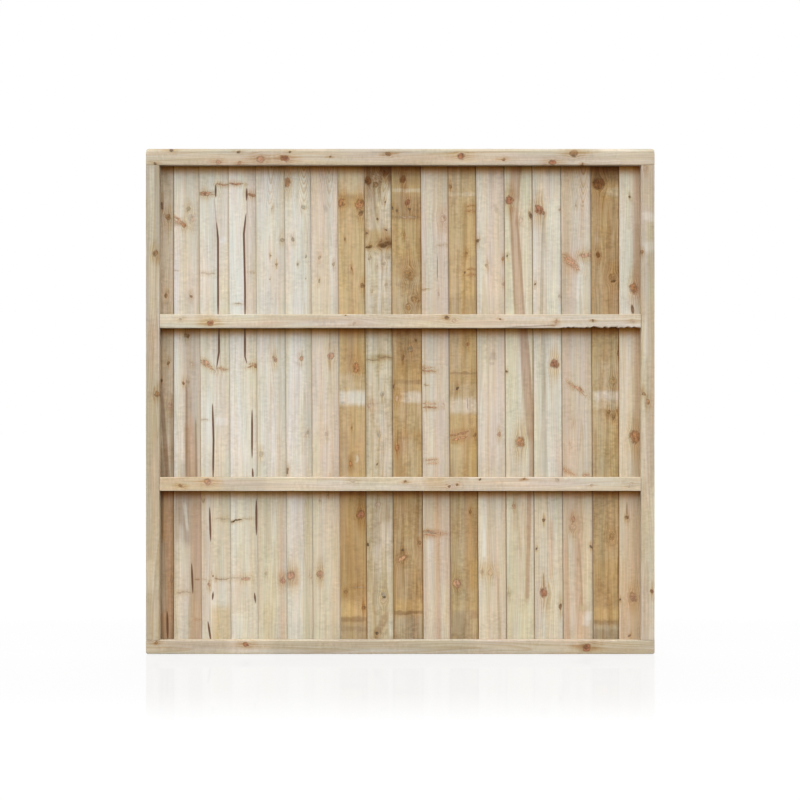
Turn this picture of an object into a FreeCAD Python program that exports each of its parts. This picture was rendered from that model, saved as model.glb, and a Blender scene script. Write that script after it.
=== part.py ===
"""Closeboard fence panel: a butt-jointed frame of two stiles and four rails, clad with lapped
featheredge boards.  Millimetres.  +X runs along the panel, +Y faces the boarded side, +Z is up.
The origin is the middle of the bottom rail's underside."""
import FreeCAD
import Part
import Sketcher
import math
import os

DRIVING = {
    # Frame
    "panel_width": 1830,
    "panel_height": 1819,
    "frame_depth": 38,
    "stile_width": 49,
    "top_rail_height": 60,
    "mid_rail_height": 50,
    "bottom_rail_height": 50,
    "weather_bevel": 11,
    "arris": 2,
    "corner_round": 8,
    # Featheredge boards
    "board_width": 122,
    "thick_edge": 11,
    "thin_edge": 4,
    "least_lap": 21,
    "side_setback": 1,
    "nailing_drift": 1,
    # Nails that hold the boards to the rails
    "board_nail_bite": 25,
    "board_nail_shank": 2.8,
    "board_nail_head": 7,
    "board_nail_head_thickness": 1.2,
    "board_nail_point": 4,
    "board_nail_setback": 14,
    # Nails that hold the frame's butt joints
    "frame_nail_length": 100,
    "frame_nail_shank": 3.8,
    "frame_nail_head": 8.5,
    "frame_nail_head_thickness": 1.6,
    "frame_nail_point": 5.5,
    "frame_nail_edge": 11,
}

# How far each board was nailed off the even gauge, counted from the left, in steps of nailing_drift.
DRIFT_STEPS = (0, -5, -9, -3, -5, -1, -7, -9, -13, -16, -10, -11, -11, -9, -8, -5, 3, 0)

HEAD_SIDES = 12

doc = FreeCAD.newDocument("closeboard_fence_panel")
sheet = doc.addObject("Spreadsheet::Sheet", "sizes")
nodes = []


# Spreadsheet

def set_cell(alias, content):
    """Add one named row to the sheet: a plain number, or a formula that starts with =."""
    row = len(cell_names) + 1
    cell_names.append(alias)
    sheet.set(f"A{row}", alias)
    sheet.set(f"B{row}", str(content))
    sheet.setAlias(f"B{row}", alias)


def size(expression):
    """The value that an expression of the sheet's names has now."""
    value = sheet.evalExpression(expression)
    return getattr(value, "Value", value)


cell_names = []
for name, number in DRIVING.items():
    set_cell(name, number)
doc.recompute()

spare_width = size("sizes.panel_width - 2 * sizes.side_setback - sizes.board_width")
board_count = 1 + math.ceil(spare_width / size("sizes.board_width - sizes.least_lap"))


def drift(index):
    """Nailing drift of a board in steps; the two end boards stay true to the frame's sides."""
    inner = 0 < index < board_count - 1
    return DRIFT_STEPS[index % len(DRIFT_STEPS)] if inner else 0


def board_name(index):
    return f"board_{index + 1:02d}"


def seat_boards():
    """Give every board its place along the rails and its tilt.

    The right-hand board lies flat on the rails.  Each board to the left of it rests its thin edge
    on the rails and the back corner of its thick edge on the front face of its right neighbour, so
    its tilt follows from that neighbour's tilt, the taper and the lap between the two.
    """
    set_cell("taper", "=atan((thick_edge - thin_edge) / board_width)")
    set_cell("gauge", f"=(panel_width - 2 * side_setback - board_width) / {board_count - 1}")
    for index in range(board_count):
        start = "=-panel_width / 2 + side_setback"
        set_cell(f"seat_{index + 1}", f"{start} + {index} * gauge + {drift(index)} * nailing_drift")
    set_cell(f"tilt_{board_count}", "=0 deg")
    for number in range(board_count - 1, 0, -1):
        here = f"seat_{number}"
        there = f"seat_{number + 1}"
        lean = f"tilt_{number + 1}"
        face = f"({lean} + taper)"
        reach = f"({here} - {there} + thin_edge * sin({lean}))"
        rise = f"(thin_edge * cos({lean}) + {reach} * tan{face})"
        set_cell(f"tilt_{number}", f"={face} + asin({rise} * cos{face} / board_width)")


seat_boards()
set_cell("board_nail_length", "=thick_edge + thin_edge + board_nail_bite")
# Two mid rails leave three equal bays.
set_cell("bay", "=(panel_height - top_rail_height - bottom_rail_height - 2 * mid_rail_height) / 3")
set_cell("lower_rail_base", "=bottom_rail_height + bay")
set_cell("upper_rail_base", "=lower_rail_base + mid_rail_height + bay")
set_cell("top_rail_base", "=panel_height - top_rail_height")
doc.recompute()


# Sketches and features

def origin_plane(body, role):
    return next(feature for feature in body.Origin.OriginFeatures if feature.Role == role)


def sketch_on(body, role, name):
    sketch = body.newObject("Sketcher::SketchObject", name)
    sketch.AttachmentSupport = [(origin_plane(body, role), "")]
    sketch.MapMode = "FlatFace"
    return sketch


def pin(sketch, edge, end, point):
    """Hold one end of a sketch edge at a point given as two expressions."""
    for kind, expression in zip(("DistanceX", "DistanceY"), point):
        rule = sketch.addConstraint(Sketcher.Constraint(kind, -1, 1, edge, end, size(expression)))
        sketch.setExpression(f"Constraints[{rule}]", expression)


def polygon(sketch, points):
    """Closed outline of straight lines through points given as pairs of expressions."""
    places = [FreeCAD.Vector(size(across), size(up), 0) for across, up in points]
    first = sketch.GeometryCount
    for index, spot in enumerate(places):
        following = places[(index + 1) % len(places)]
        sketch.addGeometry(Part.LineSegment(spot, following), False)
    for index, point in enumerate(points):
        edge = first + index
        following = first + (index + 1) % len(points)
        sketch.addConstraint(Sketcher.Constraint("Coincident", edge, 2, following, 1))
        pin(sketch, edge, 1, point)


def pad(body, sketch, length):
    feature = body.newObject("PartDesign::Pad", f"{body.Name}_pad")
    feature.Profile = sketch
    feature.setExpression("Length", length)
    sketch.Visibility = False
    return feature


def place(body, across, outward, up):
    for axis, expression in zip("xyz", (across, outward, up)):
        body.setExpression(f"Placement.Base.{axis}", expression)


def round_corner(body, corner, inward_x, inward_z):
    """Cut one rounded corner of a rail or board, seen square on, through the whole depth.

    corner is the sharp corner as two expressions; inward_x and inward_z say which way the wood lies.
    """
    radius = "sizes.corner_round"
    along = (f"{corner[0]} + {inward_x} * {radius}", corner[1])
    beside = (corner[0], f"{corner[1]} + {inward_z} * {radius}")
    centre = (along[0], beside[1])
    # The arc runs anticlockwise, so which of its ends comes first depends on the corner.
    first, last = (along, beside) if inward_x * inward_z < 0 else (beside, along)
    corner_at, first_at, last_at, centre_at = [
        FreeCAD.Vector(size(across), size(up), 0) for across, up in (corner, first, last, centre)
    ]
    start = math.atan2(first_at.y - centre_at.y, first_at.x - centre_at.x)
    circle = Part.Circle(centre_at, FreeCAD.Vector(0, 0, 1), size(radius))
    sketch = sketch_on(body, "XZ_Plane", f"{body.Name}_corner")
    to_corner = sketch.addGeometry(Part.LineSegment(last_at, corner_at), False)
    from_corner = sketch.addGeometry(Part.LineSegment(corner_at, first_at), False)
    arc = sketch.addGeometry(Part.ArcOfCircle(circle, start, start + math.pi / 2), False)
    sketch.addConstraint(Sketcher.Constraint("Coincident", to_corner, 2, from_corner, 1))
    sketch.addConstraint(Sketcher.Constraint("Coincident", from_corner, 2, arc, 1))
    sketch.addConstraint(Sketcher.Constraint("Coincident", arc, 2, to_corner, 1))
    pin(sketch, from_corner, 1, corner)
    pin(sketch, from_corner, 2, first)
    pin(sketch, to_corner, 1, last)
    rule = sketch.addConstraint(Sketcher.Constraint("Radius", arc, size(radius)))
    sketch.setExpression(f"Constraints[{rule}]", radius)
    pocket = body.newObject("PartDesign::Pocket", f"{body.Name}_corner_cut")
    pocket.Profile = sketch
    pocket.Type = "ThroughAll"
    pocket.Midplane = True
    sketch.Visibility = False


# Frame

def eased_section(depth, height, bevel=None):
    """Rail or stile section, centred in depth, with eased arrises and an optional weather bevel
    on the upper arris of the framed side."""
    ease = "sizes.arris"
    slope = bevel or ease
    back = f"-{depth} / 2"
    front = f"{depth} / 2"
    return [
        (f"{back} + {ease}", "0"),
        (f"{front} - {ease}", "0"),
        (front, ease),
        (front, f"{height} - {ease}"),
        (f"{front} - {ease}", height),
        (f"{back} + {slope}", height),
        (back, f"{height} - {slope}"),
        (back, ease),
    ]


def make_rail(name, height, length, base, bevel=None):
    body = doc.addObject("PartDesign::Body", f"{name}_timber")
    sketch = sketch_on(body, "YZ_Plane", f"{name}_section")
    polygon(sketch, eased_section("sizes.frame_depth", height, bevel))
    pad(body, sketch, length)
    place(body, f"-({length}) / 2", "0", base)
    return body


def make_full_rail(name, height, base, round_at, inward_z, bevel=None):
    """A rail that runs the panel's whole width and has its two outer corners rounded."""
    length = "sizes.panel_width"
    body = make_rail(name, height, length, base, bevel)
    doc.recompute()
    round_corner(body, ("0", round_at), 1, inward_z)
    doc.recompute()
    round_corner(body, (length, round_at), -1, inward_z)
    return body


def make_stile(name, across):
    body = doc.addObject("PartDesign::Body", f"{name}_timber")
    sketch = sketch_on(body, "XY_Plane", f"{name}_section")
    section = eased_section("sizes.stile_width", "sizes.frame_depth")
    polygon(sketch, section)
    pad(body, sketch, "sizes.top_rail_base - sizes.bottom_rail_height")
    place(body, across, "-sizes.frame_depth / 2", "sizes.bottom_rail_height")
    return body


stile_centre = "(sizes.panel_width - sizes.stile_width) / 2"
between_stiles = "(sizes.panel_width - 2 * sizes.stile_width)"
timbers = {
    "top_rail": make_full_rail(
        "top_rail", "sizes.top_rail_height", "sizes.top_rail_base", "sizes.top_rail_height", -1,
        "sizes.weather_bevel"),
    "bottom_rail": make_full_rail("bottom_rail", "sizes.bottom_rail_height", "0", "0", 1),
    "upper_mid_rail": make_rail(
        "upper_mid_rail", "sizes.mid_rail_height", between_stiles, "sizes.upper_rail_base"),
    "lower_mid_rail": make_rail(
        "lower_mid_rail", "sizes.mid_rail_height", between_stiles, "sizes.lower_rail_base"),
    "left_stile": make_stile("left_stile", f"-{stile_centre}"),
    "right_stile": make_stile("right_stile", stile_centre),
}


# Featheredge boards

def make_board(index):
    """Tapered board: thin edge at its own x = 0, back face along its own y = 0."""
    name = board_name(index)
    body = doc.addObject("PartDesign::Body", f"{name}_timber")
    sketch = sketch_on(body, "XY_Plane", f"{name}_section")
    polygon(sketch, [
        ("0", "0"),
        ("sizes.board_width", "0"),
        ("sizes.board_width", "sizes.thick_edge"),
        ("0", "sizes.thin_edge"),
    ])
    pad(body, sketch, "sizes.panel_height")
    place(body, f"sizes.seat_{index + 1}", "sizes.frame_depth / 2", "0")
    body.setExpression("Placement.Rotation.Angle", f"sizes.tilt_{index + 1}")
    outer_edges = {0: ("0", 1), board_count - 1: ("sizes.board_width", -1)}
    if index in outer_edges:
        edge, inward = outer_edges[index]
        for up, inward_z in (("0", 1), ("sizes.panel_height", -1)):
            doc.recompute()
            round_corner(body, (edge, up), inward, inward_z)
    return body


for index in range(board_count):
    timbers[board_name(index)] = make_board(index)
doc.recompute()


# Nails

def make_nail(kind):
    """One nail along Z with the underside of its head at z = 0 and its point downwards."""
    head = doc.addObject("Part::Prism", f"{kind}_head")
    head.Polygon = HEAD_SIDES
    head.setExpression("Circumradius", f"sizes.{kind}_head / 2")
    head.setExpression("Height", f"sizes.{kind}_head_thickness")
    shank = doc.addObject("Part::Box", f"{kind}_shank")
    shank.setExpression("Length", f"sizes.{kind}_shank")
    shank.setExpression("Width", f"sizes.{kind}_shank")
    shank.setExpression("Height", f"sizes.{kind}_length - sizes.{kind}_point")
    place(shank, f"-sizes.{kind}_shank / 2", f"-sizes.{kind}_shank / 2",
          f"-(sizes.{kind}_length - sizes.{kind}_point)")
    point = doc.addObject("Part::Wedge", f"{kind}_tip")
    for axis in "XZ":
        point.setExpression(f"{axis}min", f"-sizes.{kind}_shank / 2")
        point.setExpression(f"{axis}max", f"sizes.{kind}_shank / 2")
        point.setExpression(f"{axis}2min", "0")
        point.setExpression(f"{axis}2max", "0")
    point.setExpression("Ymin", "0")
    point.setExpression("Ymax", f"sizes.{kind}_point")
    place(point, "0", "0", f"-(sizes.{kind}_length - sizes.{kind}_point)")
    point.Placement.Rotation = FreeCAD.Rotation(FreeCAD.Vector(1, 0, 0), -90)
    nail = doc.addObject("Part::MultiFuse", kind)
    nail.Shapes = [head, shank, point]
    nail.Refine = True
    doc.recompute()
    return nail


def driven(nail, head_at, outward):
    """Copy of a nail driven in against outward, with the underside of its head at head_at."""
    sideways = FreeCAD.Vector(1, 0, 0) if outward.z else FreeCAD.Vector(0, 0, 1)
    turn = FreeCAD.Rotation(sideways, outward.cross(sideways), outward, "ZXY")
    return nail.Shape.transformed(FreeCAD.Placement(head_at, turn).toMatrix(), True)


def board_nail_places():
    """Each board is nailed once to every rail, just clear of its neighbour's thin edge; the last
    board is nailed down the middle of the right stile."""
    rows = [
        size("sizes.bottom_rail_height / 2"),
        size("sizes.lower_rail_base + sizes.mid_rail_height / 2"),
        size("sizes.upper_rail_base + sizes.mid_rail_height / 2"),
        size("sizes.top_rail_base + sizes.top_rail_height / 2"),
    ]
    thin = size("sizes.thin_edge")
    taper = math.radians(size("sizes.taper"))
    for index in range(board_count):
        if index + 1 < board_count:
            gauge = size(f"sizes.seat_{index + 2} - sizes.seat_{index + 1}")
            reach = gauge - size("sizes.board_nail_setback")
        else:
            reach = size("sizes.board_width + sizes.side_setback - sizes.stile_width / 2")
        body = timbers[board_name(index)]
        lean = math.radians(size(f"sizes.tilt_{index + 1}")) + taper
        outward = FreeCAD.Vector(-math.sin(lean), math.cos(lean), 0)
        for height in rows:
            on_face = FreeCAD.Vector(reach, thin + reach * math.tan(taper), height)
            yield body.Placement.multVec(on_face), outward


def frame_nail_places():
    """Two nails through each rail or stile into the end grain that butts against it."""
    half_width = size("sizes.panel_width / 2")
    edge = size("sizes.frame_nail_edge")
    stile_width = size("sizes.stile_width")
    sunk = size("sizes.frame_nail_head_thickness")
    top_middle = size("sizes.weather_bevel / 2")
    mid_height = size("sizes.mid_rail_height")
    for side in (-1, 1):
        for inset in (edge, stile_width - edge):
            across = side * (half_width - inset)
            yield FreeCAD.Vector(across, 0, sunk), FreeCAD.Vector(0, 0, -1)
            top = size("sizes.panel_height") - sunk
            yield FreeCAD.Vector(across, top_middle, top), FreeCAD.Vector(0, 0, 1)
        for base in ("sizes.lower_rail_base", "sizes.upper_rail_base"):
            for up in (edge, mid_height - edge):
                outer = FreeCAD.Vector(side * (half_width - sunk), 0, size(base) + up)
                yield outer, FreeCAD.Vector(side, 0, 0)


def nail_group(name, nail, places):
    group = doc.addObject("Part::Feature", name)
    group.Shape = Part.makeCompound([driven(nail, head_at, outward) for head_at, outward in places])
    nodes.append(group)
    return group


board_nails = nail_group("board_nails", make_nail("board_nail"), board_nail_places())
frame_nails = nail_group("frame_nails", make_nail("frame_nail"), frame_nail_places())


# The nails part the wood, so every timber has the holes of the nails that cross it

def drill(name, timber):
    room = timber.Shape.BoundBox
    nails = board_nails.Shape.Solids + frame_nails.Shape.Solids
    holes = doc.addObject("Part::Feature", f"{name}_nail_holes")
    holes.Shape = Part.makeCompound([nail for nail in nails if nail.BoundBox.intersect(room)])
    drilled = doc.addObject("Part::Cut", name)
    drilled.Base = timber
    drilled.Tool = holes
    drilled.Refine = True
    nodes.append(drilled)


for name, timber in timbers.items():
    drill(name, timber)
doc.recompute()


# Check and write

for item in doc.Objects:
    if "Invalid" in item.State or "Error" in item.State:
        raise RuntimeError(f"{item.Label} failed: {item.State}")
for node in nodes:
    if node.Shape.isNull() or not node.Shape.isValid():
        raise RuntimeError(f"{node.Label} has no valid shape")

os.makedirs("parts", exist_ok=True)
for node in nodes:
    node.Shape.exportStep(os.path.join("parts", f"{node.Label}.step"))
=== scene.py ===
"""Looks of the closeboard fence panel: rough-sawn timbers and galvanised nails on a white floor."""

import math
from typing import NamedTuple

import bmesh
import bpy
import numpy as np
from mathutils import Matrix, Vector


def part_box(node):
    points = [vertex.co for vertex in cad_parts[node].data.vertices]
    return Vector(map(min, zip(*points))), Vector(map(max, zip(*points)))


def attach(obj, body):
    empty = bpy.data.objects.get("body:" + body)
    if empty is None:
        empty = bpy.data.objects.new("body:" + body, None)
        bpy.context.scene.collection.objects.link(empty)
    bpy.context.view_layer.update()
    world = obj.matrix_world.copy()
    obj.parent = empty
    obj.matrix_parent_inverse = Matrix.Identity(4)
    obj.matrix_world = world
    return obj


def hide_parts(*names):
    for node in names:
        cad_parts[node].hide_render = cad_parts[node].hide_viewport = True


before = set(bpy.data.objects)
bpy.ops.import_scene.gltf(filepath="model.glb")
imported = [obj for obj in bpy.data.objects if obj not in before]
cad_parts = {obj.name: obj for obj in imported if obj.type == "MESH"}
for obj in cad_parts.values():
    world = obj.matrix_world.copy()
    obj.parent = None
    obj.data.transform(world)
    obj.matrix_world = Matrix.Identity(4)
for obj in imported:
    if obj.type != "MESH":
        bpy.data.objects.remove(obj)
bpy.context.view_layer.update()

MM = 0.001

# The view: square on to the framed side, as the photograph is
VIEW_DISTANCE = 6.5
EYE_HEIGHT = 0.914
PHOTO_WIDTH = 800
PHOTO_MIDDLE = (400.25, 400.0)
FACE_PIXEL = 3.596 * MM
SENSOR = 36.0

# The timbers, as the frame holds them
RAILS = ("top_rail", "upper_mid_rail", "lower_mid_rail", "bottom_rail")
STILES = ("left_stile", "right_stile")
BOARDS = tuple(sorted(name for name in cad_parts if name.removeprefix("board_").isdigit()))
FIRST_BOARD = BOARDS[0]
LAST_BOARD = BOARDS[-1]
FACE_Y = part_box("bottom_rail")[0].y
EYE_Y = FACE_Y - VIEW_DISTANCE

# Sawn edges and ends
SKIN = 0.2 * MM
SAME_PLACE = SKIN / 10
WELD = SKIN / 100
FRAME_ARRIS = 1.2 * MM
BOARD_ARRIS = 0.9 * MM
ARRIS_SHARES = (0, 0.3, 0.7, 1)
END_EASE = 1.3 * MM
CORNER_ROUND = 8.0 * MM
CORNER_STEPS = 8
WEATHER_BEVEL = 11.0 * MM
EDGE_WANDER = 0.5 * MM
WANDER_LENGTHS = (0.9, 0.37, 0.11)
FRAME_COLUMN = 5.0 * MM
BOARD_COLUMN = 6.0 * MM
ROW = 12.0 * MM
TORN_ROW = 2.5 * MM
SHARP_ANGLE = math.radians(35)

# The dark pith that lies open along the first four boards
PITH_HALF = 4.0 * MM
PITH_TIP = 0.3
PITH_DEPTH = 1.4 * MM
PITH_TAPER = 22 * MM
PITH_SPINDLE = 0.35
PITH_LONGEST = 55 * MM
PITH_COLUMNS = np.arange(-5, 6) * 0.9 * MM
PITH_FLAT = 6 * MM
PITH_FADE = 30 * MM
PITH_DARKENS = 2.5
FRAMED_FACE = 1.5 * SKIN

# Boards 3 to 17 lean a little to the left, as they were nailed
LEANING_BOARDS = BOARDS[2:-1]
BOARD_LEAN = -0.006

# The torn lower arris of the upper mid rail
TORN_FROM = 0.575
TORN_TO = 0.866
TORN_HEIGHT = 7.0 * MM
TORN_REACH = 15.0 * MM
TORN_LUMP = 7.0 * MM
TORN_POWER = 1.3

# Nails: the head's profile in shares of its thickness and radius, and the point's length and tip
NAIL_SEGMENTS = 20
NAIL_DOME = ((0.0, 0.3), (0.06, 0.62), (0.2, 0.86), (0.45, 0.97), (0.75, 0.97), (1.0, 0.9))
NAIL_POINT = 1.5
NAIL_TIP = 0.15
HEAD_RIM = 0.9
SHANK_FROM = 0.05
SHANK_TO = 0.6
SOME_SIDE = (0.3, 0.8, 0.5)


class Streak(NamedTuple):
    """A stripe of another tone along the grain, in pixels of the photograph: the column it is in, or the
    row on a rail, where it starts and ends along the grain, half its width, and its drift to its end."""

    across: float
    start: float
    end: float
    half: float
    tint: str
    strength: float
    drift: float = 0.0


class Rings(NamedTuple):
    """The tree's rings: the pith's offset across from the timber's middle and behind its face, in mm."""

    aside: float
    behind: float
    spacing: float
    contrast: float


class Look(NamedTuple):
    """One timber's tone, how light and how mottled it is, and the marks that the photograph shows on it:
    streaks, knots of each kind as column, row and half width in mm, and strokes of open pith. A crown
    shows as arches of rings at the top."""

    tone: str
    shade: float
    rings: Rings
    streaks: tuple
    knots: dict
    mottle: float = 0.2
    crown: float = 0.0
    pith: tuple = ()


TONES = {
    "pale": (0.71, 0.665, 0.575),
    "cream": (0.73, 0.68, 0.56),
    "white": (0.78, 0.76, 0.71),
    "rosy": (0.67, 0.585, 0.485),
    "pink": (0.60, 0.44, 0.32),
    "honey": (0.525, 0.385, 0.205),
    "gold": (0.63, 0.46, 0.235),
    "grey": (0.55, 0.48, 0.35),
    "ash": (0.50, 0.46, 0.38),
    "brown": (0.40, 0.27, 0.165),
    "heart": (0.44, 0.28, 0.18),
    "umber": (0.24, 0.145, 0.075),
    "weathered": (0.33, 0.305, 0.25),
    "frame": (0.62, 0.53, 0.415),
    "sage": (0.69, 0.655, 0.51),
    "olive": (0.56, 0.495, 0.34),
    "mauve": (0.42, 0.33, 0.28),
    "amber": (0.50, 0.34, 0.14),
}


class KnotKind(NamedTuple):
    """A knot's colour, its depth of tone, its length along the grain for its width, how it bends the grain,
    and how it slopes."""

    tint: tuple
    firm: float
    stretch: float = 1.15
    bend: float = 0.75
    slope: float = 0.0


KNOTS = {
    "brown": KnotKind((0.26, 0.14, 0.06), 0.88),
    "pink": KnotKind((0.42, 0.22, 0.135), 0.76),
    "red": KnotKind((0.31, 0.128, 0.064), 0.9),
    "orange": KnotKind((0.39, 0.18, 0.075), 0.85),
    "gold": KnotKind((0.38, 0.235, 0.095), 0.6),
    "dark": KnotKind((0.12, 0.075, 0.045), 0.85),
    "umber": KnotKind((0.175, 0.066, 0.017), 0.92, bend=1.0),
    "umber_bar": KnotKind((0.155, 0.075, 0.025), 0.9, stretch=0.36, bend=1.1, slope=0.25),
    "faint": KnotKind((0.34, 0.25, 0.17), 0.5),
    "rosy": KnotKind((0.52, 0.35, 0.27), 0.45),
    "grey": KnotKind((0.31, 0.3, 0.25), 0.55),
    "bar": KnotKind((0.37, 0.19, 0.105), 0.9, stretch=0.33, bend=0.3),
    "rosy_bar": KnotKind((0.5, 0.28, 0.19), 0.75, stretch=0.36, bend=0.3),
    "ray": KnotKind((0.42, 0.21, 0.115), 0.85, stretch=0.13, bend=0.25),
    "rosy_ray": KnotKind((0.53, 0.32, 0.21), 0.75, stretch=0.13, bend=0.25),
    "line": KnotKind((0.22, 0.145, 0.09), 0.6, stretch=0.11, bend=0.1),
    "faint_line": KnotKind((0.44, 0.33, 0.23), 0.45, stretch=0.12, bend=0.1),
    "wedge": KnotKind((0.5, 0.28, 0.17), 0.8, stretch=0.15, bend=0.25, slope=-0.6),
    "split": KnotKind((0.09, 0.055, 0.03), 0.95, stretch=0.1, bend=0.1, slope=0.2),
    "flame": KnotKind((0.47, 0.26, 0.14), 0.8, stretch=0.5, bend=0.5, slope=0.5),
    "salmon": KnotKind((0.5, 0.27, 0.16), 0.8, stretch=0.9),
    "tongue": KnotKind((0.45, 0.23, 0.12), 0.85, stretch=0.15, bend=0.25, slope=0.22),
    "sliver": KnotKind((0.18, 0.09, 0.045), 0.88, stretch=2.2, bend=0.5),
    "burl": KnotKind((0.3, 0.165, 0.06), 0.7, stretch=1.0, bend=1.0),
    "moss": KnotKind((0.3, 0.24, 0.15), 0.7),
    "swirl": KnotKind((0.48, 0.32, 0.2), 0.4, stretch=1.0, bend=0.9),
}

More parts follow.
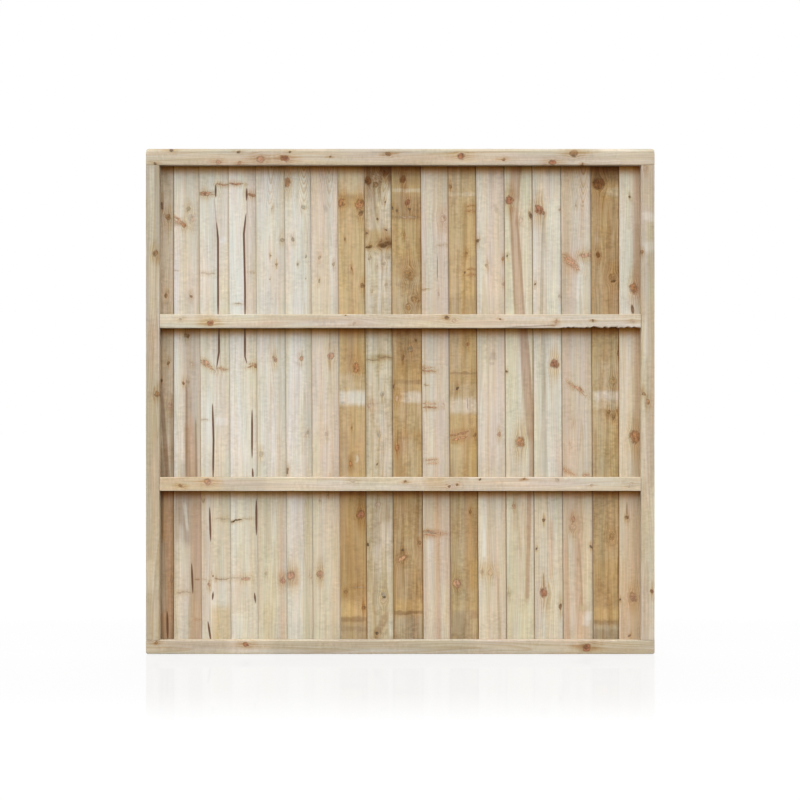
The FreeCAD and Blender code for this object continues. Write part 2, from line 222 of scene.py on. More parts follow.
LOOKS = {
    "top_rail": Look("frame", 1.0, Rings(20, 30, 4.0, 0.4), (
        (149.9, 140, 660, 2.2, "weathered", 0.7), (155, 147, 250, 3, "rosy", 0.5, 1),
        (160, 430, 640, 4, "rosy", 0.5, 2), (150, 600, 652, 6, "pale", 0.4, 8),
    ), {
        "pink": ((217.5, 162, 8), (240, 163, 6), (260.6, 158.6, 13)),
        "red": ((284.5, 159, 13), (461, 156, 12), (552.6, 162, 11)),
        "dark": ((329.5, 156.7, 4), (171, 150, 7), (238, 152, 5), (290, 151, 5), (155.4, 163.5, 5)),
        "brown": ((388, 153.5, 9), (503, 159, 6), (574, 153.5, 12), (583, 164.5, 4)),
    }),
    "upper_mid_rail": Look("frame", 1.08, Rings(-15, 28, 4.5, 0.35), (
        (322, 160, 262, 9, "cream", 0.5), (319, 196, 214, 6, "gold", 0.35),
        (322, 264, 420, 9, "rosy", 0.4), (319, 500, 562, 5, "cream", 0.5, -1),
        (322, 562, 642, 9, "pale", 0.5), (327.4, 508, 556, 0.6, "umber", 0.55, -2.2),
    ), {
        "faint": ((181, 319, 6), (354, 323.6, 5)),
        "red": ((211, 323, 10),),
        "brown": ((447, 318, 6), (500, 319.5, 4), (454.5, 320, 5)),
        "rosy": ((454, 320, 8), (633, 321.5, 7)),
        "rosy_bar": ((556, 322, 11),),
        "dark": ((593, 321, 4), (345, 315.5, 3)),
    }),
    "lower_mid_rail": Look("frame", 1.07, Rings(25, 32, 4.5, 0.35), (
        (484, 160, 222, 9, "gold", 0.3), (484, 222, 266, 9, "ash", 0.35),
        (484, 268, 425, 9, "cream", 0.35), (484, 425, 444, 9, "gold", 0.3),
        (487, 505, 640, 6, "rosy", 0.4, -2),
    ), {
        "brown": ((180.6, 486, 7), (405, 481.5, 5), (524, 479, 4), (449.5, 486.5, 6), (457, 484.5, 4)),
        "pink": ((208, 482, 11),),
        "faint": ((352.6, 481.5, 6), (557, 480, 6), (593, 485.5, 4)),
        "rosy": ((452, 486, 9), (631, 485, 8)),
        "dark": ((480.5, 479, 4),),
    }),
    "bottom_rail": Look("frame", 0.85, Rings(-10, 22, 5.0, 0.55), (
        # The white stripe at row 640 is a painted highlight along the bottom rail's top edge
        (646, 228, 272, 9, "rosy", 0.6), (640, 146, 654, 1.3, "white", 0.3),
        (646, 146, 228, 9, "grey", 0.35), (646, 272, 470, 9, "ash", 0.35),
        (646, 470, 580, 9, "rosy", 0.35), (646, 596, 654, 9, "grey", 0.4),
    ), {
        "red": ((246, 644, 9), (587, 647, 13)),
        "brown": ((156, 643, 6),),
        "faint": ((149, 641, 4),),
    }),
    "left_stile": Look("frame", 0.81, Rings(14, 26, 4.5, 0.5), (
        (151, 167, 320, 3, "cream", 0.45), (157, 260, 380, 3, "rosy", 0.4),
        (147.5, 167, 640, 2, "ash", 0.55), (154, 400, 640, 5, "grey", 0.5),
        (151, 560, 590, 4, "cream", 0.4), (152, 330, 640, 8, "gold", 0.15),
    ), {
        "brown": ((155, 253, 10), (157, 394, 9)),
        "faint": ((158, 433, 4),),
    }),
    "right_stile": Look("frame", 0.93, Rings(-5, 20, 5.0, 0.4), (
        (647, 170, 300, 4, "ash", 0.3, 3), (644, 320, 480, 3, "cream", 0.5),
        (648, 182, 206, 5, "olive", 0.45), (648, 212, 221, 6, "white", 0.5),
        (650, 224, 239, 4, "olive", 0.45), (648, 241, 252, 6, "white", 0.4),
        (651, 256, 300, 3, "olive", 0.4), (650, 490, 640, 4, "cream", 0.4),
        (648, 300, 640, 8, "gold", 0.15),
    ), {
        "brown": ((642, 252.5, 6), (644, 394, 7)),
        "orange": ((648, 402, 8),),
        "red": ((652, 591, 8),),
        "rosy": ((646, 168, 8),),
    }),
    "board_01": Look("brown", 1.2, Rings(40, 30, 4.5, 0.4), (
        (166, 160, 330, 9, "olive", 0.6), (166, 160, 330, 9, "rosy", 0.62),
        (167, 330, 480, 8, "rosy", 0.7), (169, 330, 480, 4, "ash", 0.35),
        (161, 395, 480, 2.2, "umber", 0.6, 7), (161, 330, 400, 1.8, "umber", 0.4),
        (171.8, 395, 480, 1.2, "umber", 0.45), (163, 448, 480, 4, "umber", 0.5),
        # The umber stripe at column 161.5 is painted shade beside the left stile
        (169, 490, 650, 3, "pink", 0.35), (161.5, 490, 650, 1.8, "umber", 0.55),
        (163.5, 540, 612, 3, "ash", 0.5), (171.5, 490, 650, 1.5, "umber", 0.25),
    ), {
        "dark": ((161.4, 381, 5),),
        "sliver": ((161.6, 206, 6),),
        "brown": ((167.7, 217, 11), (165.8, 295, 7), (168.5, 363, 6)),
        "rosy": ((169, 405, 9),),
        "faint": ((171, 580, 6),),
    }, mottle=0.5, pith=(
        ((167, 611), (167.4, 640)),
    )),
    "board_02": Look("rosy", 0.98, Rings(-70, 30, 4.0, 0.35), (
        (177, 150, 480, 5, "white", 0.6, 2), (192, 150, 330, 6, "pale", 0.55),
        (190, 330, 480, 7, "ash", 0.45, 2), (189, 390, 480, 3, "brown", 0.3, 2),
        (189, 425, 480, 5, "brown", 0.6, 2), (191, 415, 476, 2.2, "pink", 0.7, 2),
        (186.5, 385, 480, 1, "umber", 0.6), (195.5, 420, 480, 1, "umber", 0.55, 1),
        (183, 462, 480, 2.5, "umber", 0.25), (196, 490, 650, 5, "heart", 0.5),
        (184, 490, 545, 8, "mauve", 0.7), (178, 490, 560, 3, "mauve", 0.3),
        (184.5, 503, 530, 1.4, "white", 0.5, 3), (181, 526, 575, 3, "white", 0.4, 2),
        (180, 540, 592, 5, "white", 0.4, 2), (182, 594, 650, 6, "white", 0.5),
        (190, 596, 650, 2, "brown", 0.25), (196.5, 600, 650, 4, "pink", 0.5),
        (179, 221.5, 226, 6, "brown", 0.45),
    ), {
        "wedge": ((176, 216.5, 16), (178.5, 219.5, 22), (180, 223, 20)),
        "orange": ((184, 225, 8),),
        "rosy": ((192.3, 219, 12), (192, 364, 6)),
        "brown": ((191.3, 296, 6), (186.9, 335.5, 8), (183.7, 383, 6)),
        "moss": ((188.5, 209, 8),),
        "faint": ((188, 381, 5),),
        "faint_line": ((177, 271, 10), (184, 592.5, 24), (197, 620, 12)),
        "line": ((197, 579.5, 10),),
    }, pith=(
        ((191.5, 563), (192.8, 594)),
    )),
    "board_03": Look("pale", 1.0, Rings(-4, 24, 4.0, 0.3), (
        (206, 150, 480, 7, "white", 0.5), (223, 150, 320, 5, "cream", 0.5),
        (221, 360, 480, 7, "cream", 0.55), (221, 492, 577, 8, "sage", 0.65),
        (206, 492, 577, 5, "rosy", 0.3), (220, 582, 605, 9, "white", 0.55),
        (221, 607, 650, 9, "gold", 0.45), (221, 418, 425, 7, "white", 0.7),
        (222, 238, 243, 4, "white", 0.7), (222, 301, 308, 4, "white", 0.6),
        (214, 198, 226, 0.6, "brown", 0.45, 2.6),
    ), {
        "bar": ((204.5, 194.3, 20),),
        "ray": ((206, 192.5, 26), (222, 184.5, 24)),
        "rosy_ray": ((207, 194.5, 28), (222, 369, 22)),
        "wedge": ((205.5, 362.5, 26), (206.5, 365.5, 28)),
        "gold": ((203, 500, 7),),
        "faint_line": ((207, 273.5, 26), (222, 519, 26), (200, 579, 20), (204, 420, 14)),
        "line": ((213, 273, 7), (222, 579, 24)),
        "brown": ((212.5, 576, 4),),
        "pink": ((209, 585, 7),),
    }, pith=(
        ((215.7, 184), (215.5, 197)), ((216.5, 222), (218, 240), (218, 318)),
        ((218.9, 326), (218.9, 352), (216.5, 368)), ((212.4, 403), (213.5, 440), (213, 480)),
        ((209.6, 507), (210.6, 542)), ((213, 592), (212.5, 600)), ((207.8, 621), (211, 642)),
    )),
    "board_04": Look("pale", 1.05, Rings(6, 24, 4.0, 0.25), (
        (236, 150, 650, 8, "white", 0.7), (251, 150, 320, 6, "rosy", 0.6),
        (253, 355, 480, 4, "cream", 0.6), (240, 585, 612, 12, "rosy", 0.45),
        (253, 490, 600, 3, "gold", 0.2), (243, 545, 572, 5, "sage", 0.4),
        (247, 199, 215, 0.6, "brown", 0.45),
    ), {
        "bar": ((251.5, 194.5, 17),),
        "ray": ((236, 184, 26),),
        "tongue": ((252, 366.5, 18),),
        "rosy_ray": ((253, 364, 16),),
        "brown": ((255.5, 366, 6),),
        "rosy_bar": ((246, 579, 18),),
        "line": ((238, 304, 16),),
        "split": ((236, 520.8, 22),),
        "faint_line": ((248, 519, 18), (236, 578, 26), (252, 272, 14)),
    }, pith=(
        ((246.6, 188), (246.6, 201)), ((246, 213), (243.8, 234), (245, 290), (245, 318)),
        ((244.8, 326), (245, 357), (247, 364)), ((252, 409), (252, 459)), ((252.4, 468), (253, 480)),
        ((256.2, 499), (256.3, 536)), ((254.4, 593), (255.5, 603)),
    )),
    "board_05": Look("pale", 0.97, Rings(-8, 18, 4.2, 0.35), (
        (268, 150, 480, 8, "white", 0.5), (281, 150, 650, 3, "rosy", 0.35),
        (268, 490, 650, 8, "sage", 0.7), (267, 500, 560, 3, "olive", 0.45),
        (268, 605, 640, 5, "olive", 0.4), (282, 490, 650, 2.5, "pink", 0.3),
        (282, 572, 586, 4, "pink", 0.5),
    ), {
        "moss": ((276.4, 264, 4), (270, 256, 3.5), (270, 278.5, 3), (282, 239.5, 7)),
        "pink": ((274.7, 359, 9), (282.5, 580, 9)),
        "faint": ((261, 454, 8), (266, 574, 6)),
        "rosy": ((272, 208, 5),),
    }, crown=0.11),
    "board_06": Look("pale", 1.0, Rings(6, 16, 4.2, 0.4), (
        (291, 150, 650, 4, "white", 0.55), (300, 150, 650, 6, "white", 0.45),
        (308, 330, 490, 4, "ash", 0.3), (307, 490, 650, 4, "olive", 0.45),
        (294, 490, 565, 5, "white", 0.3), (292, 590, 650, 5, "white", 0.35),
        (292, 569, 586, 7, "pink", 0.55),
    ), {
        "orange": ((286.5, 182.5, 15),),
        "moss": ((292.6, 239.5, 7), (305.5, 256, 3.5), (298, 264, 3.5), (306, 278.5, 3.5)),
        "brown": ((286.5, 471, 9),),
        "grey": ((303, 207.5, 7),),
        "pink": ((301, 359, 8), (291, 576, 15)),
        "faint": ((307, 433, 6),),
        "rosy": ((311, 577, 6),),
    }, crown=0.15),
    "board_07": Look("rosy", 1.04, Rings(4, 18, 4.2, 0.35), (
        (316, 150, 650, 3, "cream", 0.5), (333, 150, 320, 4, "white", 0.3),
        (325, 490, 650, 12, "sage", 0.45), (325.5, 205, 212, 1.8, "mauve", 0.45),
    ), {
        "rosy": ((326, 434, 7),),
        "moss": ((319, 258, 5), (334, 264, 5), (318.5, 281, 5), (328, 495, 4)),
        "pink": ((331, 356, 12), (320, 574, 11)),
        "faint": ((320, 500, 5),),
    }, crown=0.11),
    "board_08": Look("honey", 1.12, Rings(45, 30, 4.2, 0.35), (
        (352, 150, 194, 16, "cream", 0.5), (352, 194, 200, 16, "brown", 0.25),
        (352, 208, 224, 16, "cream", 0.3), (352, 212, 330, 16, "gold", 0.4),
        (352, 222, 320, 16, "cream", 0.12), (348, 330, 388, 5, "brown", 0.3),
        (352, 374, 389, 14, "cream", 0.35), (352, 391, 405, 16, "white", 0.8),
        (345, 405, 480, 4, "grey", 0.35), (357, 455, 463, 1, "white", 0.7),
        (352, 432, 476, 16, "brown", 0.25), (360, 490, 520, 5, "brown", 0.5),
        (350, 490, 600, 16, "brown", 0.6), (350, 490, 600, 16, "amber", 0.5),
        (352, 604, 617, 16, "gold", 0.4), (352, 617, 622, 16, "umber", 0.5),
        (352, 624, 650, 16, "grey", 0.55), (352, 618, 650, 16, "umber", 0.25),
        (352, 627, 631, 16, "umber", 0.3),
    ), {
        "brown": (
            (361, 213, 10), (345, 239, 4), (352, 428, 4), (345, 592, 6), (364, 608, 7), (363, 285, 8),
        ),
        "red": ((361, 514.5, 15),),
        "orange": ((341, 203, 15), (360, 204, 17), (352, 269, 5), (356, 367.5, 16), (351, 464, 7)),
        "faint_line": ((359, 587, 24),),
    }, mottle=0.45),
    "board_09": Look("grey", 1.04, Rings(-4, 14, 4.6, 0.45), (
        (380, 150, 182, 16, "brown", 0.6), (368, 165, 200, 2, "umber", 0.65, 1),
        (373, 180, 216, 0.9, "umber", 0.5, 3), (390, 165, 192, 2, "umber", 0.55),
        (381, 165, 200, 1.5, "umber", 0.6, -2), (370, 190, 240, 2.5, "brown", 0.5, 16),
        (391, 195, 240, 2, "brown", 0.5, -3), (367, 195, 240, 1.5, "brown", 0.4, 11),
        (388, 190, 236, 3, "white", 0.4), (380, 186, 228, 12, "pale", 0.3),
        (380, 230, 249, 16, "amber", 0.55), (386, 238, 248, 7, "umber", 0.55),
        (380, 252, 320, 16, "pale", 0.5), (380, 330, 356, 14, "pale", 0.5),
        (380, 355, 361, 14, "olive", 0.8), (385, 356, 361, 8, "brown", 0.4),
        (374, 362, 480, 7, "pale", 0.35), (386, 362, 480, 5, "white", 0.4),
        (374, 400, 412, 6, "pink", 0.3), (378, 490, 552, 12, "ash", 0.35),
        (386, 540, 640, 4, "pale", 0.35, 2), (386, 522, 548, 5, "white", 0.55),
        (380, 546, 572, 14, "pale", 0.35), (389, 612, 642, 4, "brown", 0.5, -17),
        (371, 605, 640, 4, "olive", 0.4), (391, 614, 634, 3, "white", 0.5),
    ), {
        "umber": ((385.5, 172, 13), (368, 180, 12)),
        "brown": ((375.5, 184, 11),),
        "dark": (
            (377, 218, 4), (385, 202, 4), (367, 233.5, 4), (386, 230, 4), (376.5, 465, 4), (368, 545, 6),
            (377, 633, 5), (384, 597, 5),
        ),
        "umber_bar": ((385, 244.5, 24), (368, 247, 12)),
        "line": ((372, 360.5, 22), (385, 357.5, 26)),
        "swirl": ((377, 178, 20), (384, 601, 12)),
        "grey": ((382.5, 394, 8), (379, 435, 6), (384, 594, 7)),
        "faint": (
            (370, 258, 7), (384, 263, 7), (376, 267, 6), (388, 257, 6), (372, 291, 5), (386, 284, 5),
        ),
        "rosy": ((369, 406, 7), (377.5, 505, 8)),
    }, mottle=0.6, crown=0.12),
    "board_10": Look("honey", 1.04, Rings(30, 22, 4.4, 0.5), (
        (408, 150, 184, 14, "umber", 0.25), (408, 188.5, 192, 16, "cream", 0.45),
        (408, 194, 217, 14, "brown", 0.5), (400, 225, 260, 5, "gold", 0.35),
        (408, 172, 177, 16, "umber", 0.15), (405, 216, 219, 14, "umber", 0.3),
        (405, 282, 287, 9, "umber", 0.3), (412, 304, 309, 9, "umber", 0.25),
        (408, 258, 276, 14, "brown", 0.3), (408, 276, 320, 14, "grey", 0.5),
        (408, 330, 364, 14, "brown", 0.25), (408, 362, 381, 14, "amber", 0.5),
        (408, 380, 384, 14, "umber", 0.35), (412, 392, 403, 9, "white", 0.6),
        (408, 404, 430, 12, "grey", 0.3), (404, 432, 452, 10, "heart", 0.3),
        (399, 441, 456, 4, "pink", 0.35), (412, 440, 480, 8, "grey", 0.4), (403, 506, 520, 6, "pink", 0.3),
        (405, 540, 600, 8, "ash", 0.35), (416, 490, 552, 5, "brown", 0.4),
        (408, 500, 600, 16, "brown", 0.25), (408, 515, 570, 14, "grey", 0.2),
        (408, 600, 611, 16, "gold", 0.3), (408, 616, 650, 16, "ash", 0.65),
        (416, 616, 640, 4, "brown", 0.35), (408, 611, 614.5, 16, "umber", 0.6),
        (408, 634, 640, 16, "umber", 0.15),
    ), {
        "umber": ((403, 179, 11),),
        "brown": ((416, 340, 5), (420, 543, 6)),
        "red": ((408, 203, 9),),
        "dark": ((409.6, 209, 5), (392, 208, 6), (396.6, 211, 4), (394, 386.5, 6), (403, 550, 5)),
        "gold": ((405, 235, 5),),
        "burl": ((409, 274, 20), (415, 299, 16), (408, 307, 12)),
        "orange": ((397, 448, 9),),
        "faint_line": ((407, 217, 40),),
        "flame": ((402, 558.5, 20),),
        "moss": ((410.6, 349, 9),),
        "sliver": ((402.5, 357.5, 4),),
        "rosy": ((397, 399, 9),),
    }, mottle=0.7),
    "board_11": Look("rosy", 0.98, Rings(-65, 28, 4.2, 0.35), (
        (429, 150, 650, 3, "pale", 0.6, 2), (442, 168, 212, 5, "olive", 0.35),
        (443, 206, 234, 5, "pink", 0.4), (437.5, 256, 277, 0.4, "umber", 0.85),
        (437, 490, 650, 2, "pink", 0.55, 2), (436, 490, 531, 10, "gold", 0.3),
        (427, 490, 528, 3, "pink", 0.35), (445, 585, 650, 3.5, "sage", 0.6),
        (430, 540, 650, 3, "white", 0.35), (436, 530, 540, 12, "pink", 0.4),
    ), {
        "swirl": ((443, 218, 13),),
        "pink": ((444, 217, 6),),
        "line": ((426, 289, 14), (426, 385, 12), (430, 532.5, 24)),
        "faint": ((439, 294, 5),),
        "rosy_ray": ((427, 367.5, 20), (429, 403.5, 24), (441, 533, 20), (431, 460, 20), (432, 463, 18)),
        "ray": ((428, 371, 24), (429.6, 407.5, 28), (428, 531, 20), (429, 535, 24)),
        "rosy": ((443.7, 405, 5),),
        "faint_line": ((443, 245, 18),),
    }),
    "board_12": Look("honey", 1.05, Rings(55, 30, 4.2, 0.45), (
        (456, 170, 320, 5, "grey", 0.45), (463, 192, 196, 16, "cream", 0.4),
        (463, 168, 200, 14, "cream", 0.2), (470, 214, 320, 4, "gold", 0.5),
        (474, 256, 284, 4, "heart", 0.35), (463, 296, 320, 16, "brown", 0.25),
        (455, 330, 372, 6, "grey", 0.4), (472, 330, 650, 4, "gold", 0.6, 1),
        (463, 372, 374, 16, "umber", 0.4), (463, 398, 413, 16, "white", 0.5),
        (463, 384, 398, 16, "grey", 0.35), (461, 430, 440, 12, "pink", 0.4),
        (474, 428, 478, 2.5, "amber", 0.6), (467.7, 399, 408, 0.4, "umber", 0.8),
        (457, 445, 480, 7, "grey", 0.4), (463, 490, 600, 14, "brown", 0.35),
        (458, 490, 600, 7, "olive", 0.6), (474.5, 505, 610, 3.5, "amber", 0.6),
        (475, 510, 560, 2.5, "brown", 0.4), (463, 590, 611, 16, "grey", 0.35),
        (463, 611, 650, 16, "ash", 0.45), (459, 612, 650, 7, "umber", 0.3),
        (474, 610, 619, 4, "brown", 0.6), (463, 634, 640, 16, "umber", 0.15),
    ), {
        "brown": ((450, 186, 6), (466, 252.5, 5), (475, 435, 6), (471, 512, 6)),
        "ray": ((470, 206, 14), (471, 211, 14), (471, 269.5, 16), (471, 275, 16)),
        "tongue": ((459, 434, 34), (459, 438.5, 30)),
        "dark": ((464.5, 272, 3), (457, 388, 5)),
        "orange": ((468, 344, 7),),
        "salmon": ((457, 584, 17),),
        "faint_line": ((453, 356, 8),),
    }, mottle=0.6),
    "board_13": Look("rosy", 1.03, Rings(-40, 22, 4.8, 0.3), (
        (483, 150, 650, 4, "cream", 0.55), (491, 150, 320, 3, "pink", 0.12),
        (501, 150, 320, 3, "pink", 0.2), (498, 575, 650, 1.3, "brown", 0.4, 2),
        (483, 495, 560, 3.5, "white", 0.65), (483, 578, 650, 3.5, "white", 0.5),
        (492, 495, 562, 6, "rosy", 0.3), (492, 563, 577, 9, "gold", 0.25), (501, 500, 575, 3, "sage", 0.4),
        (492.5, 352, 360, 3, "mauve", 0.5), (491.5, 362, 365, 2.4, "mauve", 0.35),
        (496, 205, 213, 1.6, "mauve", 0.4), (491, 580, 650, 4, "sage", 0.4),
    ), {
        "brown": ((478, 241, 6),),
        "gold": ((487, 266, 6),),
        "orange": ((503, 259, 6),),
        "pink": ((499, 434, 7),),
        "faint": ((503, 283, 5), (481, 572, 6)),
        "swirl": ((490, 573, 12),),
    }),
    "board_14": Look("cream", 0.95, Rings(0, 16, 5.0, 0.35), (
        (529, 150, 480, 5, "sage", 0.6), (508, 210, 480, 4, "sage", 0.5),
        (517, 150, 200, 5, "heart", 0.65, -3), (522, 150, 225, 1.2, "brown", 0.5, -6),
        (513, 204, 320, 4.3, "heart", 0.55, 7), (510.5, 203, 320, 1.1, "brown", 0.6, 5),
        (517, 218, 320, 1.2, "brown", 0.6, 7.5), (522, 320, 440, 4.3, "heart", 0.7, 9),
        (526, 320, 430, 1.2, "brown", 0.5, 8), (532, 430, 480, 3, "heart", 0.7),
        (529.5, 490, 602, 2.2, "heart", 0.65, -2.5), (515, 440, 490, 7, "rosy", 0.45),
        (515, 495, 530, 3, "pink", 0.5), (510, 495, 600, 3, "sage", 0.7),
        (517, 505, 560, 1, "olive", 0.6, 4), (522, 495, 555, 3, "rosy", 0.5, 2),
        (525, 505, 580, 1, "olive", 0.5), (519, 602, 650, 13, "sage", 0.6),
        (533, 490, 600, 1.2, "white", 0.5),
    ), {
        "red": ((509, 200, 14),),
        "dark": ((508, 256, 4),),
        "orange": ((520, 442, 17),),
        "pink": ((514, 506, 6),),
        "faint": ((509, 594.5, 7),),
        "brown": ((506, 372, 5),),
        "rosy": ((521, 220, 8),),
        "sliver": ((530.8, 215, 6),),
    }),
    "board_15": Look("pale", 0.98, Rings(-25, 22, 4.8, 0.35), (
        (538, 150, 480, 4, "cream", 0.6), (543.5, 214, 330, 1.8, "ash", 0.85, -2.5),
        (543, 330, 480, 2, "ash", 0.7, 2), (556, 370, 480, 2, "ash", 0.4, 2),
        (549, 200, 320, 5, "sage", 0.4), (553, 150, 200, 6, "pink", 0.4),
        (550, 370, 480, 2, "pink", 0.35, 10), (551, 520, 578, 2.2, "pink", 0.55),
        (541, 490, 580, 5, "sage", 0.55), (547.5, 490, 580, 0.8, "brown", 0.35),
        (558, 490, 600, 4, "sage", 0.5), (556, 150, 480, 7, "white", 0.3), (546, 600, 625, 5, "rosy", 0.4),
        (543.7, 574, 590, 0.5, "umber", 0.8),
    ), {
        "brown": ((543.5, 213, 6),),
        "sliver": ((560.5, 607, 6),),
        "dark": ((535.5, 284.5, 4), (544, 520, 5), (536.5, 549, 4)),
        "faint": ((560, 297, 6), (560, 210, 4)),
        "red": ((539, 209.5, 15), (555, 364, 14), (544, 593, 15)),
    }),
    "board_16": Look("rosy", 0.96, Rings(5, 20, 4.2, 0.45), (
        (567, 150, 650, 3, "pink", 0.3), (578, 490, 640, 12, "pink", 0.55),
        (580, 260, 320, 3, "white", 0.3), (571, 535, 650, 3, "pale", 0.7, 3),
        (587, 495, 606, 4.5, "sage", 0.65), (579, 540, 612, 1, "brown", 0.5, 4),
        (566, 540, 640, 1.5, "pink", 0.5, 2), (576, 512, 533, 6, "pink", 0.5),
        (584, 605, 611, 6, "olive", 0.6), (588, 612, 619, 4, "white", 0.5),
        (586, 617, 626, 3.5, "white", 0.45), (570.5, 253, 275, 8, "pink", 0.5),
        (586, 251, 261, 7, "gold", 0.35), (582, 626, 650, 9, "gold", 0.2),
        (587, 150, 320, 3, "cream", 0.4),
    ), {
        "faint": ((576, 205.5, 4), (583, 206, 4), (578.5, 561, 4)),
        "flame": ((566.5, 259, 9),),
        "rosy": ((573.5, 423.5, 6), (570, 445, 5)),
        "rosy_ray": ((588, 254, 16),),
        "swirl": ((573, 527, 14),),
        "pink": ((573, 519, 8),),
        "wedge": (
            (569, 258, 24), (571, 262, 28), (573.5, 266.5, 26), (575, 387, 24), (579, 388.5, 22),
            (581, 392, 20), (568.5, 472, 24),
        ),
        "rosy_bar": ((585.5, 255.5, 22), (586, 475, 10)),
        "dark": ((591, 547, 5),),
    }, crown=0.14),
    "board_17": Look("honey", 1.0, Rings(40, 26, 4.4, 0.5), (
        (606, 150, 182, 16, "umber", 0.7), (606, 198, 320, 16, "brown", 0.3),
        (612, 188, 196, 7, "cream", 0.4), (598, 235, 320, 4, "grey", 0.4),
        (614, 290, 320, 4, "brown", 0.35), (606, 330, 480, 14, "grey", 0.25),
        (606, 391, 400, 16, "white", 0.65), (606, 400, 409, 16, "cream", 0.45),
        (606, 362, 388, 14, "cream", 0.2), (598, 410, 480, 5, "grey", 0.5),
        (613, 420, 600, 4, "gold", 0.5), (606, 495, 560, 14, "grey", 0.35),
        (606, 580, 607, 16, "brown", 0.3), (606, 608, 619, 16, "gold", 0.45),
        (606, 620, 625, 16, "umber", 0.5), (606, 625, 650, 16, "ash", 0.7),
        (606, 630, 640, 16, "umber", 0.35), (613, 262, 276, 5, "amber", 0.5),
    ), {
        "umber": ((599, 184, 21), (598, 254.5, 9)),
        "umber_bar": ((613.5, 281.5, 11),),
        "brown": ((608.5, 412, 7), (614, 417, 7), (617, 411.5, 5)),
        "burl": ((613, 277, 15), (612, 537, 12)),
        "gold": ((613, 381, 13),),
        "sliver": ((618.2, 353, 5),),
    }, mottle=0.7),
    "board_18": Look("cream", 1.0, Rings(35, 26, 4.5, 0.45), (
        (638, 150, 300, 4.5, "pink", 0.75, -1), (639, 320, 480, 5, "pink", 0.65, -2),
        (630, 490, 650, 12, "pink", 0.55), (630, 490, 650, 12, "gold", 0.15),
        (622, 490, 560, 3, "sage", 0.5), (627, 503, 515, 0.5, "umber", 0.8),
        (634, 296, 317, 3, "white", 0.5), (625, 150, 330, 5, "white", 0.35),
        (625, 330, 400, 5, "cream", 0.5), (630, 330, 480, 12, "gold", 0.18),
        (628, 320, 390, 3, "pale", 0.5), (638, 225, 292, 4.5, "heart", 0.3),
    ), {
        "dark": ((630, 197, 4), (630, 636, 4), (620, 600, 4)),
        "brown": ((627, 517, 6),),
        "orange": ((635, 437, 20), (634, 288.5, 17)),
        "sliver": ((633.2, 309, 6),),
        "pink": ((632.5, 597, 15),),
    }),
}


def in_panel(pixel, depth):
    """Panel x and z of what shows at a pixel of the photograph, on a face at this depth."""
    span = FACE_PIXEL * (depth - EYE_Y) / VIEW_DISTANCE
    return (pixel[0] - PHOTO_MIDDLE[0]) * span, EYE_HEIGHT - (pixel[1] - PHOTO_MIDDLE[1]) * span


# Sawn shapes

def eased(corners, radius, spacing, cuts=None):
    """Points round a convex outline, anticlockwise, with each corner eased and each side divided.
    cuts holds the divisions of the first side, as shares of its length, where they aren't even."""
    corners = [np.array(corner) for corner in corners]
    arcs = []
    for index, corner in enumerate(corners):
        back = corners[index - 1] - corner
        ahead = corners[(index + 1) % len(corners)] - corner
        back = back / np.linalg.norm(back)
        ahead = ahead / np.linalg.norm(ahead)
        half_angle = math.acos(back @ ahead) / 2
        inward = (back + ahead) / np.linalg.norm(back + ahead)
        centre = corner + inward * radius / math.sin(half_angle)
        first = corner + back * radius / math.tan(half_angle) - centre
        last = corner + ahead * radius / math.tan(half_angle) - centre
        spokes = [first + (last - first) * share for share in ARRIS_SHARES]
        arcs.append([centre + spoke * radius / np.linalg.norm(spoke) for spoke in spokes])
    points = []
    for index, arc in enumerate(arcs):
        start, end = arc[-1], arcs[(index + 1) % len(arcs)][0]
        count = max(1, round(np.linalg.norm(end - start) / spacing))
        shares = np.arange(1, count) / count
        if index == 0 and cuts is not None:
            shares = cuts
        points += arc + [start + (end - start) * share for share in shares]
    return np.array(points)


def arc_inset(places, low, high, radius):
    """How far a rounded corner draws an edge in at each place along a timber, from both its ends."""
    from_end = np.minimum(places - low, high - places)
    short = np.clip(radius - from_end, 0, radius)
    return radius - np.sqrt(radius**2 - short**2)


def stations(low, high, fine=()):
    """Places along a timber: close together over its rounded ends, even between them, and any fine ones."""
    turn = CORNER_ROUND * (1 - np.cos(np.linspace(0, math.pi / 2, CORNER_STEPS)))
    count = round((high - low) / ROW)
    even = np.linspace(low + CORNER_ROUND, high - CORNER_ROUND, count)
    return np.unique(np.round(np.concatenate([low + turn, even, high - turn, np.array(fine)]), 6))


def wander(places, chance):
    """A slow wave along a sawn edge, between nothing and EDGE_WANDER."""
    total = np.zeros_like(places)
    for length in WANDER_LENGTHS:
        total += np.sin(2 * math.pi * (places / length + chance.random()))
    return EDGE_WANDER * (total / len(WANDER_LENGTHS) + 1) / 2


def loops_along(outline, places, side, low_trim, high_trim):
    """The outline at each place, its low and high edges along one side drawn in, and its ends eased."""
    loops = np.repeat(outline[None], len(places), axis=0)
    values = outline[:, side]
    share = (values - values.min()) / np.ptp(values)
    loops[:, :, side] += (1 - share) * low_trim[:, None] - share * high_trim[:, None]
    ease = arc_inset(places, places[0], places[-1], END_EASE)
    middle = loops.mean(axis=1, keepdims=True)
    size = np.ptp(outline, axis=0)
    return middle + (loops - middle) * (1 - 2 * ease[:, None, None] / size)


